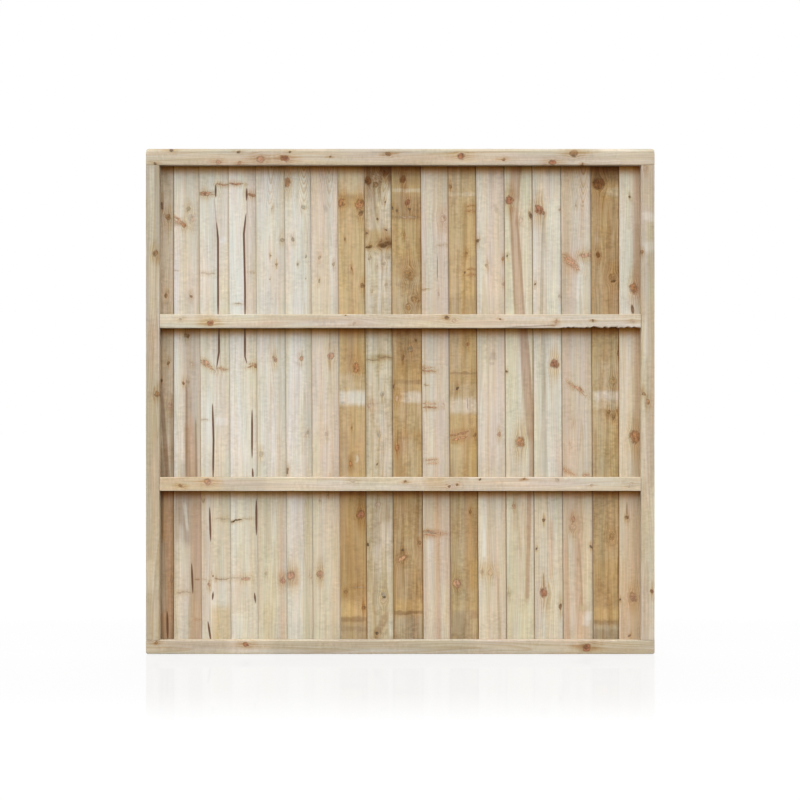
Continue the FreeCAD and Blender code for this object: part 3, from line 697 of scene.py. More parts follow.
def sweep(name, loops, **values):
    """A closed piece skinned over loops of points, with a fan over each end and values at its points."""
    rows, count, _ = loops.shape
    points = np.vstack([loops.reshape(-1, 3), loops[[0, -1]].mean(axis=1)])
    here = np.arange(count)
    after = (here + 1) % count
    row = (np.arange(rows - 1) * count)[:, None]
    walls = np.stack([row + here, row + after, row + count + after, row + count + here], axis=-1)
    last = (rows - 1) * count
    first_fan = np.stack([after, here, np.full(count, rows * count)], axis=-1)
    last_fan = np.stack([last + here, last + after, np.full(count, rows * count + 1)], axis=-1)
    faces = walls.reshape(-1, 4).tolist() + first_fan.tolist() + last_fan.tolist()
    piece = new_piece(name, points, faces)
    for label, value in values.items():
        attribute = piece.data.attributes.new(label, "FLOAT", "POINT")
        attribute.data.foreach_set("value", np.append(value.ravel(), [0, 0]).astype(np.float32))
    return piece


def new_piece(name, points, faces):
    """A smooth-shaded mesh object in the scene, with its hard edges kept."""
    mesh = bpy.data.meshes.new(name)
    mesh.from_pydata(points.tolist(), [], faces)
    mesh.polygons.foreach_set("use_smooth", [True] * len(mesh.polygons))
    mesh.set_sharp_from_angle(angle=SHARP_ANGLE)
    piece = bpy.data.objects.new(name, mesh)
    bpy.context.scene.collection.objects.link(piece)
    return piece


def inner_box(name):
    """A timber's corners in the frame, drawn in by the skin."""
    low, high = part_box(name)
    return np.array(low) + SKIN, np.array(high) - SKIN


def sawn_rail(name, chance):
    """A rail, swept along x. The top one is bevelled, and the top and bottom ones have rounded ends."""
    low, high = inner_box(name)
    corners = [(low[1], low[2]), (high[1], low[2]), (high[1], high[2]), (low[1], high[2])]
    if name == "top_rail":
        corners[3:] = [(low[1] + WEATHER_BEVEL, high[2]), (low[1], high[2] - WEATHER_BEVEL)]
    outline = eased(corners, FRAME_ARRIS, FRAME_COLUMN)
    torn = np.arange(TORN_FROM, TORN_TO, TORN_ROW) if name == "upper_mid_rail" else ()
    places = stations(low[0], high[0], torn)
    round_end = arc_inset(places, low[0], high[0], CORNER_ROUND)
    low_trim = wander(places, chance) + (round_end if name == "bottom_rail" else 0)
    high_trim = wander(places, chance) + (round_end if name == "top_rail" else 0)
    loops = loops_along(outline, places, 1, low_trim, high_trim)
    if name == "upper_mid_rail":
        tear_arris(loops, places, chance)
    along = np.broadcast_to(places[:, None], loops.shape[:2])
    return sweep("sawn_" + name, np.stack([along, loops[:, :, 0], loops[:, :, 1]], axis=-1))


def tear_arris(loops, places, chance):
    """Breaks the underside of a rail into ragged fibres over part of its length."""
    inside = np.clip(np.minimum(places - TORN_FROM, TORN_TO - places) / TORN_REACH, 0, 1)
    lumps = np.arange(TORN_FROM, TORN_TO, TORN_LUMP)
    ragged = np.interp(places, lumps, chance.random(len(lumps)) ** TORN_POWER)
    tear = TORN_HEIGHT * inside * ragged
    above = (loops[:, :, 1] - loops[:, :, 1].min()) / TORN_REACH
    loops[:, :, 1] += np.clip(1 - above, 0, 1) * tear[:, None]


def sawn_stile(name, chance):
    """A stile, swept up z."""
    low, high = inner_box(name)
    corners = [(low[0], low[1]), (high[0], low[1]), (high[0], high[1]), (low[0], high[1])]
    outline = eased(corners, FRAME_ARRIS, FRAME_COLUMN)
    places = stations(low[2], high[2])
    loops = loops_along(outline, places, 0, wander(places, chance), wander(places, chance))
    along = np.broadcast_to(places[:, None], loops.shape[:2])
    return sweep("sawn_" + name, np.stack([loops[:, :, 0], loops[:, :, 1], along], axis=-1))


def board_section(name):
    """A featheredge board's seat, tilt, width and edge thicknesses, read from its solid."""
    points = np.array([vertex.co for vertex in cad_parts[name].data.vertices])
    seat_y = points[:, 1].min()
    seat_x = points[points[:, 1] < seat_y + SAME_PLACE, 0].min()
    far_x = points[:, 0].max()
    far_y = points[points[:, 0] > far_x - SAME_PLACE, 1].min()
    tilt = math.atan2(far_y - seat_y, far_x - seat_x)
    across = (points[:, 0] - seat_x) * math.cos(tilt) + (points[:, 1] - seat_y) * math.sin(tilt)
    deep = (points[:, 1] - seat_y) * math.cos(tilt) - (points[:, 0] - seat_x) * math.sin(tilt)
    width = across.max()
    thin = deep[across < BOARD_ARRIS].max()
    return (seat_x, seat_y), tilt, width, thin, deep.max()


def board_lean(name):
    """How far a board leans across for each metre up."""
    return BOARD_LEAN if name in LEANING_BOARDS else 0.0


def pith_route(strokes, seat, places):
    """Where a board's pith runs at each height, and how far it lies open there, from its strokes."""
    points = []
    opened = np.zeros_like(places)
    for stroke in strokes:
        route = [in_panel(pixel, seat[1]) for pixel in stroke]
        points += route
        top, foot = route[0][1], route[-1][1]
        taper = min(max(PITH_TAPER, (top - foot) * PITH_SPINDLE), (top - foot) / 2, PITH_LONGEST)
        opened = np.maximum(opened, np.clip(np.minimum(top - places, places - foot) / taper, 0, 1))
    points.sort(key=lambda point: point[1])
    heights = [point[1] for point in points]
    return np.interp(places, heights, [point[0] - seat[0] for point in points]), np.sqrt(opened)


def sawn_board(name, chance):
    """A featheredge board, swept up z, tilted on its seat, with its pith as a groove where it lies open."""
    seat, tilt, width, thin, thick = board_section(name)
    low, high = inner_box(name)
    fine = ()
    strokes = LOOKS[name].pith
    if strokes:
        fine = np.arange(low[2] + CORNER_ROUND, high[2] - CORNER_ROUND, ROW / 2)
    places = stations(low[2], high[2], fine)
    lean = board_lean(name) * (places - places.mean())
    corners = [(SKIN, SKIN), (width - SKIN, SKIN), (width - SKIN, thick - SKIN), (SKIN, thin - SKIN)]
    cuts = None
    if strokes:
        route, opened = pith_route(strokes, seat, places)
        route = route - lean
        middle = route.mean()
        even = np.arange(BOARD_COLUMN, width, BOARD_COLUMN)
        even = even[np.abs(even - middle) > PITH_FLAT]
        cuts = np.sort(np.concatenate([even, middle + PITH_COLUMNS])) / width
    outline = eased(corners, BOARD_ARRIS, BOARD_COLUMN, cuts)
    round_end = arc_inset(places, low[2], high[2], CORNER_ROUND)
    low_trim = wander(places, chance) + (round_end if name == FIRST_BOARD else 0)
    high_trim = wander(places, chance) + (round_end if name == LAST_BOARD else 0)
    loops = loops_along(outline, places, 0, low_trim, high_trim)
    pith = np.zeros(loops.shape[:2])
    if strokes:
        behind = outline[:, 1] < FRAMED_FACE
        beside = np.clip(1 - (np.abs(outline[:, 0] - middle) - PITH_FLAT) / PITH_FADE, 0, 1) * behind
        loops[:, :, 0] += (route - middle)[:, None] * beside
        half = PITH_HALF * (PITH_TIP + (1 - PITH_TIP) * opened[:, None])
        offset = np.abs(loops[:, :, 0] - route[:, None]) / half
        groove = np.clip(1 - offset**2, 0, 1) * opened[:, None] * behind
        loops[:, :, 1] += PITH_DEPTH * groove
        pith = np.clip(groove * PITH_DARKENS, 0, 1)
    across, deep = loops[:, :, 0], loops[:, :, 1]
    x = seat[0] + across * math.cos(tilt) - deep * math.sin(tilt) + lean[:, None]
    y = seat[1] + across * math.sin(tilt) + deep * math.cos(tilt)
    z = np.broadcast_to(places[:, None], x.shape)
    return sweep("sawn_" + name, np.stack([x, y, z], axis=-1), pith=pith)


# Nails

def separate_solids(node):
    """The points of each separate solid in a group node."""
    shape = bmesh.new()
    shape.from_mesh(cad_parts[node].data)
    bmesh.ops.remove_doubles(shape, verts=shape.verts, dist=WELD)
    waiting = set(shape.verts)
    solids = []
    while waiting:
        reached = [waiting.pop()]
        for vertex in reached:
            found = {edge.other_vert(vertex) for edge in vertex.link_edges} & waiting
            waiting -= found
            reached += found
        solids.append(np.array([vertex.co for vertex in reached]))
    shape.free()
    solids.sort(key=lambda points: tuple(np.round(points.mean(axis=0), 5)))
    return solids


def turned_nail(points):
    """One nail turned on its solid's axis: a slightly domed head, a round shank and a point.
    The solid's shank is square, and the round one fits inside it."""
    middle = points.mean(axis=0)
    axis = np.linalg.svd(points - middle)[2][0]
    along = (points - middle) @ axis
    out = np.linalg.norm((points - middle) - along[:, None] * axis, axis=1)
    if along[out.argmax()] > 0:
        axis, along = -axis, -along
    start, length = along.min(), np.ptp(along)
    head = out.max()
    thickness = np.ptp(along[out > HEAD_RIM * head])
    on_shank = (out < SHANK_TO * head) & (out > SHANK_FROM * head)
    shank = np.median(out[on_shank]) * math.cos(math.pi / 4)
    profile = [(share * thickness, radius * head) for share, radius in NAIL_DOME]
    profile += [(thickness, shank), (length - NAIL_POINT * head, shank), (length, NAIL_TIP * shank)]
    sideways = np.cross(axis, SOME_SIDE)
    sideways /= np.linalg.norm(sideways)
    across = np.cross(axis, sideways)
    angles = np.linspace(0, 2 * math.pi, NAIL_SEGMENTS, endpoint=False)[:, None]
    ring = np.cos(angles) * sideways + np.sin(angles) * across
    top = middle + axis * start
    return np.array([top + axis * depth + ring * radius for depth, radius in profile])


def nail_group(name, node):
    """One piece with every nail of a group node."""
    points, faces = [], []
    for solid in separate_solids(node):
        rings = turned_nail(solid)
        base = len(points)
        points += rings.reshape(-1, 3).tolist()
        for row in range(len(rings) - 1):
            for turn in range(NAIL_SEGMENTS):
                here = base + row * NAIL_SEGMENTS + turn
                after = base + row * NAIL_SEGMENTS + (turn + 1) % NAIL_SEGMENTS
                faces.append((here, after, after + NAIL_SEGMENTS, here + NAIL_SEGMENTS))
        end = base + (len(rings) - 1) * NAIL_SEGMENTS
        faces.append(tuple(range(base + NAIL_SEGMENTS - 1, base - 1, -1)))
        faces.append(tuple(range(end, end + NAIL_SEGMENTS)))
    return new_piece(name, np.array(points), faces)


# Shader nodes

class Graph:
    """Adds nodes to one shader tree. A socket given as a value is linked, and anything else is set."""

    def __init__(self, tree):
        self.tree = tree

    def add(self, kind, feeds=None, **settings):
        node = self.tree.nodes.new(kind)
        for name, value in settings.items():
            setattr(node, name, value)
        for key, value in (feeds or {}).items():
            self.feed(node.inputs[key], value)
        return node

    def feed(self, socket, value):
        if isinstance(value, bpy.types.NodeSocket):
            self.tree.links.new(value, socket)
        else:
            socket.default_value = value

    def group(self, tree, feeds):
        return self.add("ShaderNodeGroup", feeds, node_tree=tree).outputs

    def math(self, operation, *values):
        return self.add("ShaderNodeMath", dict(enumerate(values)), operation=operation).outputs[0]

    def vector(self, operation, *values):
        return self.add("ShaderNodeVectorMath", dict(enumerate(values)), operation=operation).outputs[0]

    def mix(self, factor, first, second, blend="MIX"):
        feeds = {0: factor, 6: first, 7: second}
        return self.add("ShaderNodeMix", feeds, data_type="RGBA", blend_type=blend).outputs[2]

    def tinge(self, factor, colour, tint):
        return self.mix(factor, colour, tint, "MULTIPLY")

    def ease(self, value, low, high, start=0.0, end=1.0):
        feeds = {0: value, 1: low, 2: high, 3: start, 4: end}
        return self.add("ShaderNodeMapRange", feeds, interpolation_type="SMOOTHSTEP").outputs[0]

    def dim(self, colour, level):
        return self.add("ShaderNodeVectorMath", {0: colour, "Scale": level}, operation="SCALE").outputs[0]

    def split(self, vector):
        return self.add("ShaderNodeSeparateXYZ", {0: vector}).outputs

    def join(self, x, y, z):
        return self.add("ShaderNodeCombineXYZ", {0: x, 1: y, 2: z}).outputs[0]

    def noise(self, vector, scale, detail):
        stretched = self.vector("MULTIPLY", vector, scale)
        feeds = {"Vector": stretched, "Scale": 1.0, "Detail": detail}
        return self.add("ShaderNodeTexNoise", feeds, noise_dimensions="3D").outputs[0]


def node_group(name, inputs, outputs):
    """A new shader group, as its graph, what it is given and what it returns. The names of its sockets are
    listed by their kind."""
    tree = bpy.data.node_groups.new(name, "ShaderNodeTree")
    for sockets, way in ((inputs, "INPUT"), (outputs, "OUTPUT")):
        for kind, labels in sockets.items():
            for label in labels.split(", "):
                tree.interface.new_socket(name=label, in_out=way, socket_type="NodeSocket" + kind)
    graph = Graph(tree)
    return graph, graph.add("NodeGroupInput").outputs, graph.add("NodeGroupOutput").inputs


def opaque(colour):
    return (*colour, 1.0)


TAIL_SQUASH = 0.16


def knot_group():
    """A knot: bends the grain round itself, and keeps the nearest knot's distance, colour and depth."""
    graph, given, result = node_group(
        "knot",
        {
            "Vector": "Grain", "Color": "Tint, Core",
            "Float": "Across, Along, Radius, Stretch, Bend, Slope, Depth, Shift, Near, Tail, Firm",
        },
        {"Color": "Core", "Float": "Shift, Near, Tail, Firm"},
    )
    across, _, along = graph.split(given["Grain"])
    aside = graph.math("SUBTRACT", across, given["Across"])
    above = graph.math("SUBTRACT", along, given["Along"])
    above = graph.math("SUBTRACT", above, graph.math("MULTIPLY", aside, given["Slope"]))
    length = graph.math("MULTIPLY", given["Radius"], given["Stretch"])
    wide = graph.math("DIVIDE", aside, given["Radius"])
    tall = graph.math("DIVIDE", above, length)
    wide_square = graph.math("MULTIPLY", wide, wide)
    tall_square = graph.math("MULTIPLY", tall, tall)
    square = graph.math("ADD", wide_square, tall_square)
    reach = graph.math("SQRT", square)
    tail = graph.math("SQRT", graph.math("MULTIPLY_ADD", tall_square, TAIL_SQUASH, wide_square))
    outside = graph.math("MAXIMUM", square, 1.0)
    push = graph.math("DIVIDE", graph.math("MULTIPLY", aside, given["Bend"]), outside)
    closer = graph.math("LESS_THAN", reach, given["Near"])
    firmer = graph.math("SUBTRACT", given["Depth"], given["Firm"])
    graph.feed(result["Shift"], graph.math("ADD", given["Shift"], push))
    graph.feed(result["Near"], graph.math("MINIMUM", reach, given["Near"]))
    graph.feed(result["Tail"], graph.math("MINIMUM", tail, given["Tail"]))
    graph.feed(result["Core"], graph.mix(closer, given["Core"], given["Tint"]))
    graph.feed(result["Firm"], graph.math("MULTIPLY_ADD", closer, firmer, given["Firm"]))
    return graph.tree


def streak_group():
    """A soft-edged stripe of another tone along the grain."""
    graph, given, result = node_group(
        "streak",
        {
            "Vector": "Grain", "Color": "Tone, Tint",
            "Float": "Across, Along, Lean, Half, Reach, Side Fade, End Fade, Strength",
        },
        {"Color": "Tone"},
    )
    across, _, along = graph.split(given["Grain"])
    above = graph.math("SUBTRACT", along, given["Along"])
    middle = graph.math("MULTIPLY_ADD", above, given["Lean"], given["Across"])
    aside = graph.math("ABSOLUTE", graph.math("SUBTRACT", across, middle))
    inner = graph.math("SUBTRACT", given["Half"], given["Side Fade"])
    outer = graph.math("ADD", given["Half"], given["Side Fade"])
    side = graph.ease(aside, inner, outer, 1.0, 0.0)
    before = graph.math("SUBTRACT", given["Reach"], given["End Fade"])
    beyond = graph.math("ADD", given["Reach"], given["End Fade"])
    end = graph.ease(graph.math("ABSOLUTE", above), before, beyond, 1.0, 0.0)
    cover = graph.math("MULTIPLY", graph.math("MULTIPLY", side, end), given["Strength"])
    graph.feed(result["Tone"], graph.mix(cover, given["Tone"], given["Tint"]))
    return graph.tree


# Noise in the wood: how often it varies in a metre across, through and along the grain, and its detail.
# The fibres' patterns bend round the knots, and the raw ones don't.
FIBRE_PATTERNS = {
    "sway": ((0.0, 1.0, 1.6), 1.0),
    "ripple": ((22.0, 22.0, 2.6), 2.0),
    "hair": ((620.0, 620.0, 9.0), 3.0),
    "stripe": ((90.0, 90.0, 1.1), 4.0),
    "cloud": ((16.0, 16.0, 4.0), 2.0),
    "blotch": ((24.0, 24.0, 12.0), 4.0),
    "drift": ((95.0, 95.0, 4.5), 3.0),
    "dash": ((60.0, 60.0, 105.0), 4.0),
    "warmth": ((42.0, 42.0, 2.6), 3.0),
    "cast": ((27.0, 27.0, 3.4), 2.0),
}
RAW_PATTERNS = {
    "rough": ((280.0, 280.0, 190.0), 3.0),
    "broken": ((130.0, 130.0, 75.0), 2.0),
    "saw_hair": ((520.0, 520.0, 14.0), 3.0),
    "saw_sway": ((9.0, 9.0, 9.0), 1.0),
}
FRAY_PATTERN = ((150.0, 150.0, 4.0), 3.0)

# Growth rings. A range is where a value is eased from and to, and may add what it is at each end.
RING_SWAY = 50 * MM
TREE_TAPER = 0.012
RING_RIPPLE = 12 * MM
UNEVEN_PATTERN = ((0.6, 9.0, 1.0), 1.0)
RING_UNEVEN = 1.6
LATE_RISE = (0.3, 0.88)
LATE_FALL = (0.9, 1.0, 1.0, 0.0)
LATEWOOD = opaque((0.80, 0.67, 0.51))
CROWN_FROM = 1.6
CROWN_CONTRAST = 40.0
HALO_CONTRAST = 1.3
END_CONTRAST = 0.5

# Fibres, mottling and flecks
MOTTLE_RANGE = (0.44, 0.64)
MOTTLE_TINTS = {"blotch": opaque((0.86, 0.80, 0.70)), "drift": opaque((0.72, 0.66, 0.55))}
FIBRE_RANGE = (0.3, 0.7)
FIBRE_COVER = 0.5
LIGHT_FIBRE = opaque((1.07, 1.08, 1.10))
BROWN_FIBRE = opaque((0.90, 0.85, 0.78))
CAST_RANGE = (0.36, 0.64)
CAST_TINTS = {
    "warmth": (opaque((0.975, 1.0, 1.05)), opaque((1.025, 1.0, 0.95))),
    "cast": (opaque((1.018, 0.991, 0.995)), opaque((0.984, 1.009, 0.975))),
}
CLOUD_DEPTH = 0.24
HAIR_DEPTH = 0.40
FLECK_DEPTH = 0.22
FLECK_MOTTLE = 0.6
FLECK_PATCHES = (0.38, 0.62, 0.4, 1.4)

# Darkening towards the ground, painted shade under the rails, a cool darkening just above them, and grey
# end grain
LOW_DARKENING_RANGE = (0.95, 0.25)
LOW_DARKENING_TINT = opaque((0.96, 0.92, 0.86))
RAIL_FEET = tuple(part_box(name)[0].z for name in RAILS[:-1])
# Painted shade: a warm dark band on the boards just under each rail
RAIL_SHADE_REACH = 40 * MM
RAIL_SHADE_TINT = opaque((0.74, 0.38, 0.08))
RAIL_SPANS = tuple((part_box(name)[0].z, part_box(name)[1].z) for name in RAILS[1:])
ABOVE_RAIL_REACH = 95 * MM
ABOVE_RAIL_TINT = opaque((0.83, 0.86, 0.89))
END_RANGE = (0.6, 0.9)
END_TINT = opaque((0.66, 0.58, 0.48))

# Knots and open pith
KNOT_ROUGH = 0.55
KNOT_BROKEN = 0.65
TAIL_STRIPES = 0.9
HALO_FALL = (0.4, 2.3, 0.7, 0.0)
CORE_FALL = (0.6, 1.15, 1.0, 0.0)
RIM_RISE = (0.65, 0.95)
RIM_FALL = (0.95, 1.3, 1.0, 0.0)
RIM_BREAKS = (0.4, 0.6)
RIM_COVER = 0.75
CORE_PATCHES = (0.36, 0.64, 0.62, 1.4)
WHORL_TURNS = 15.0
WHORL_DEPTH = 0.2
KNOT_HALO = opaque((0.86, 0.73, 0.56))
KNOT_RIM = opaque((0.45, 0.33, 0.24))
PITH_BROWN = (0.14, 0.062, 0.031)
PITH_LEVEL = 0.55
PITH_HAIR = 0.9
PITH_COVER = 0.95

# The sawn surface
SAW_SWAY = 9.0
SAW_PITCH = 1650.0
SAW_PATCHES = (0.42, 0.62, 0.02, 0.12)
SAW_BUMP = {"Strength": 0.55, "Distance": 0.9 * MM}
ROUGH_RANGE = (0.25, 0.75, 0.72, 0.9)
WOOD_SPECULAR = 0.25


def growth_rings(graph, given, noise, bent, depth, along):
    """How late in its year the wood at a place grew, and how far up the crown it is."""
    aside = graph.math("SUBTRACT", bent, given["Ring Across"])
    aside = graph.math("SUBTRACT", aside, RING_SWAY / 2)
    aside = graph.math("MULTIPLY_ADD", noise["sway"], RING_SWAY, aside)
    behind = graph.math("SUBTRACT", given["Ring Depth"], depth)
    square = graph.math("ADD", graph.math("MULTIPLY", aside, aside), graph.math("MULTIPLY", behind, behind))
    radius = graph.math("MULTIPLY_ADD", along, TREE_TAPER, graph.math("SQRT", square))
    radius = graph.math("MULTIPLY_ADD", noise["ripple"], RING_RIPPLE, radius)
    above_crown = graph.math("MAXIMUM", graph.math("SUBTRACT", along, CROWN_FROM), 0.0)
    crest = graph.math("MULTIPLY", above_crown, given["Crown"])
    age = graph.math("DIVIDE", graph.math("SUBTRACT", radius, crest), given["Ring Spacing"])
    uneven = graph.noise(graph.join(age, given["Seed"], 0.0), *UNEVEN_PATTERN)
    ring = graph.math("FRACT", graph.math("MULTIPLY_ADD", uneven, RING_UNEVEN, age))
    return graph.math("MULTIPLY", graph.ease(ring, *LATE_RISE), graph.ease(ring, *LATE_FALL)), crest


def fibre_tone(graph, given, noise):
    """The timber's tone, mottled and tinged along its fibres."""
    tone = given["Tone"]
    for label, tint in MOTTLE_TINTS.items():
        cover = graph.math("MULTIPLY", graph.ease(noise[label], *MOTTLE_RANGE), given["Mottle"])
        tone = graph.tinge(cover, tone, tint)
    fibre_tint = graph.mix(graph.ease(noise["stripe"], *FIBRE_RANGE), LIGHT_FIBRE, BROWN_FIBRE)
    tone = graph.tinge(FIBRE_COVER, tone, fibre_tint)
    for label, (first, second) in CAST_TINTS.items():
        tone = graph.tinge(1.0, tone, graph.mix(graph.ease(noise[label], *CAST_RANGE), first, second))
    return tone


def tone_with_painted_shade(graph, given, along, tone):
    """The tone darker towards the ground, with painted shade under the rails and a cool darkening just
    above them, which only the boards' framed side has near a rail.
    """
    # Darker towards the ground on the boards
    low = graph.math("MULTIPLY", graph.ease(along, *LOW_DARKENING_RANGE), given["Damp"])
    tone = graph.tinge(low, tone, LOW_DARKENING_TINT)
    # Painted shade: a warm dark band on the boards' framed side at the foot of each of the upper three
    # rails
    rail_shade = 0.0
    for foot in RAIL_FEET:
        below = graph.math("ABSOLUTE", graph.math("SUBTRACT", along, foot))
        rail_shade = graph.math("MAXIMUM", graph.ease(below, 0.0, RAIL_SHADE_REACH, 1.0, 0.0), rail_shade)
    framed_side = graph.math("MULTIPLY", given["Framed"], given["Damp"])
    tone = graph.tinge(graph.math("MULTIPLY", rail_shade, framed_side), tone, RAIL_SHADE_TINT)
    # A cool darkening on the boards' framed side just above each of the lower three rails
    above_rail_darkening = 0.0
    for rail_foot, rail_top in RAIL_SPANS:
        over = graph.math("GREATER_THAN", along, (rail_foot + rail_top) / 2)
        darker_above = graph.math("MULTIPLY", graph.ease(along, rail_top, rail_top + ABOVE_RAIL_REACH, 1.0, 0.0), over)
        above_rail_darkening = graph.math("MAXIMUM", darker_above, above_rail_darkening)
    return graph.tinge(graph.math("MULTIPLY", above_rail_darkening, framed_side), tone, ABOVE_RAIL_TINT)


def light_level(graph, given, noise):
    """How light the wood is from place to place: clouds, hairs and flecks, about 1."""
    steady = 1 - (CLOUD_DEPTH + HAIR_DEPTH) / 2
    level = graph.math("MULTIPLY_ADD", noise["hair"], HAIR_DEPTH, steady)
    level = graph.math("MULTIPLY_ADD", noise["cloud"], CLOUD_DEPTH, level)
    fleck_depth = graph.math("MULTIPLY_ADD", given["Mottle"], FLECK_MOTTLE, FLECK_DEPTH)
    fleck_depth = graph.math("MULTIPLY", fleck_depth, graph.ease(noise["blotch"], *FLECK_PATCHES))
    flecks = graph.math("MULTIPLY", graph.math("SUBTRACT", noise["dash"], 0.5), fleck_depth)
    return graph.math("ADD", level, flecks)


def knot_tone(graph, given, raw, halo, tone):
    """The tone with the nearest knot on it: its halo, its whorled core and its broken rim."""
    near = graph.math("SUBTRACT", given["Near"], (KNOT_ROUGH + KNOT_BROKEN) / 2)
    near = graph.math("MULTIPLY_ADD", raw["rough"], KNOT_ROUGH, near)
    near = graph.math("MULTIPLY_ADD", raw["broken"], KNOT_BROKEN, near)
    core = graph.math("MULTIPLY", graph.ease(near, *CORE_FALL), given["Firm"])
    rim = graph.math("MULTIPLY", graph.ease(near, *RIM_RISE), graph.ease(near, *RIM_FALL))
    rim = graph.math("MULTIPLY", rim, given["Firm"])
    rim = graph.math("MULTIPLY", rim, graph.ease(raw["broken"], *RIM_BREAKS))
    tone = graph.tinge(halo, tone, KNOT_HALO)
    whorl = graph.math("SINE", graph.math("MULTIPLY", near, WHORL_TURNS))
    level = graph.math("MULTIPLY_ADD", whorl, WHORL_DEPTH, graph.ease(raw["broken"], *CORE_PATCHES))
    tone = graph.mix(core, tone, graph.dim(given["Core"], level))
    return graph.tinge(graph.math("MULTIPLY", rim, RIM_COVER), tone, KNOT_RIM)


def softwood_group():
    """Sawn softwood: growth rings round a wandering pith, fibres, knots, open pith and saw marks."""
    graph, given, result = node_group(
        "softwood",
        {
            "Vector": "Grain", "Color": "Tone, Core",
            "Float": "Shift, Near, Tail, Firm, Pith, Ring Across, Ring Depth, Ring Spacing, Ring Contrast, "
                     "Mottle, Crown, Damp, End, Framed, Seed",
        },
        {"Color": "Color", "Float": "Roughness", "Vector": "Normal"},
    )
    across, depth, along = graph.split(given["Grain"])
    bent = graph.math("SUBTRACT", across, given["Shift"])
    fibres = graph.join(bent, graph.math("ADD", depth, given["Seed"]), along)
    noise = {label: graph.noise(fibres, *pattern) for label, pattern in FIBRE_PATTERNS.items()}
    raw = {label: graph.noise(given["Grain"], *pattern) for label, pattern in RAW_PATTERNS.items()}

    late, crest = growth_rings(graph, given, noise, bent, depth, along)
    tail = graph.math("SUBTRACT", given["Tail"], TAIL_STRIPES / 2)
    tail = graph.math("MULTIPLY_ADD", noise["stripe"], TAIL_STRIPES, tail)
    halo = graph.math("MULTIPLY", graph.ease(tail, *HALO_FALL), given["Firm"])

    tone = tone_with_painted_shade(graph, given, along, fibre_tone(graph, given, noise))
    end_grain = graph.ease(given["End"], *END_RANGE)
    tone = graph.tinge(end_grain, tone, END_TINT)
    ring_depth = given["Ring Contrast"]
    for place, contrast in ((halo, HALO_CONTRAST), (crest, CROWN_CONTRAST), (end_grain, END_CONTRAST)):
        ring_depth = graph.math("MULTIPLY_ADD", place, contrast, ring_depth)
    tone = graph.tinge(graph.math("MULTIPLY", late, ring_depth), tone, LATEWOOD)
    tone = graph.dim(tone, light_level(graph, given, noise))
    tone = knot_tone(graph, given, raw, halo, tone)
    pith_tone = graph.dim(PITH_BROWN, graph.math("MULTIPLY_ADD", noise["hair"], PITH_HAIR, PITH_LEVEL))
    pith_cover = graph.math("MULTIPLY", given["Pith"], PITH_COVER)
    graph.feed(result["Color"], graph.mix(pith_cover, tone, pith_tone))

    saw_place = graph.math("MULTIPLY", along, SAW_PITCH)
    saw_wave = graph.math("SINE", graph.math("MULTIPLY_ADD", raw["saw_sway"], SAW_SWAY, saw_place))
    saw = graph.math("MULTIPLY", saw_wave, graph.ease(raw["saw_sway"], *SAW_PATCHES))
    height = graph.math("ADD", raw["saw_hair"], saw)
    graph.feed(result["Normal"], graph.add("ShaderNodeBump", {**SAW_BUMP, "Height": height}).outputs[0])
    graph.feed(result["Roughness"], graph.ease(noise["hair"], *ROUGH_RANGE))
    return graph.tree


KNOT_NODES = knot_group()
STREAK_NODES = streak_group()
WOOD_NODES = softwood_group()

# How streaks, the painted shade at the laps, and knots lie on a timber
JITTER_SCALE = 38.0
JITTER_DETAIL = 2.0
JITTER_REACH = 20 * MM
FRAY_REACH = (3.5 * MM, 0.0, 24 * MM)
NARROW_BAND = 20 * MM
SIDE_FADE = 0.45
END_FADE = 12.8 * MM
END_FADE_SHARE = 0.06
END_FADE_MOST = 0.5
# Painted shade: a dark line on each board where the next board laps over it
LAP_HALF = 2.2 * MM
LAP_FADE = 2.2 * MM
LAP_SHADE_TINT = opaque((0.20, 0.11, 0.05))
FAINTLY_SHADED_LAPS = BOARDS[1:7]
FAINT_LAP_SHADE = 0.22
STRONG_LAP_SHADE = 0.6
FAR_FROM_KNOTS = 99.0
SEED_STEP = 0.731
FRAMED_FACING = -0.5


def new_material(name):
    """An empty node material, as its graph and its output."""
    material = bpy.data.materials.new(name)
    material.use_nodes = True
    material.node_tree.nodes.clear()
    graph = Graph(material.node_tree)
    return material, graph, graph.add("ShaderNodeOutputMaterial").inputs["Surface"]


def grain_place(across, along, name):
    """Where a pixel falls on a timber's framed side, both counted across and along its grain."""
    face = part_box(name)[0].y
    if name in RAILS:
        x, z = in_panel((along, across), face)
        return z, x
    return in_panel((across, along), face)


def loosened(graph, place):
    """Two wavering copies of a place: one for knots and narrow bands, one that frays along the grain."""
    feeds = {"Vector": place, "Scale": JITTER_SCALE, "Detail": JITTER_DETAIL}
    jitter = graph.add("ShaderNodeTexNoise", feeds).outputs["Color"]
    jitter = graph.vector("MULTIPLY", graph.vector("SUBTRACT", jitter, (0.5,) * 3), (JITTER_REACH,) * 3)
    fray = graph.math("SUBTRACT", graph.noise(place, *FRAY_PATTERN), 0.5)
    fray = graph.vector("MULTIPLY", graph.join(fray, 0.0, fray), FRAY_REACH)
    return graph.vector("ADD", place, jitter), graph.vector("ADD", place, fray)


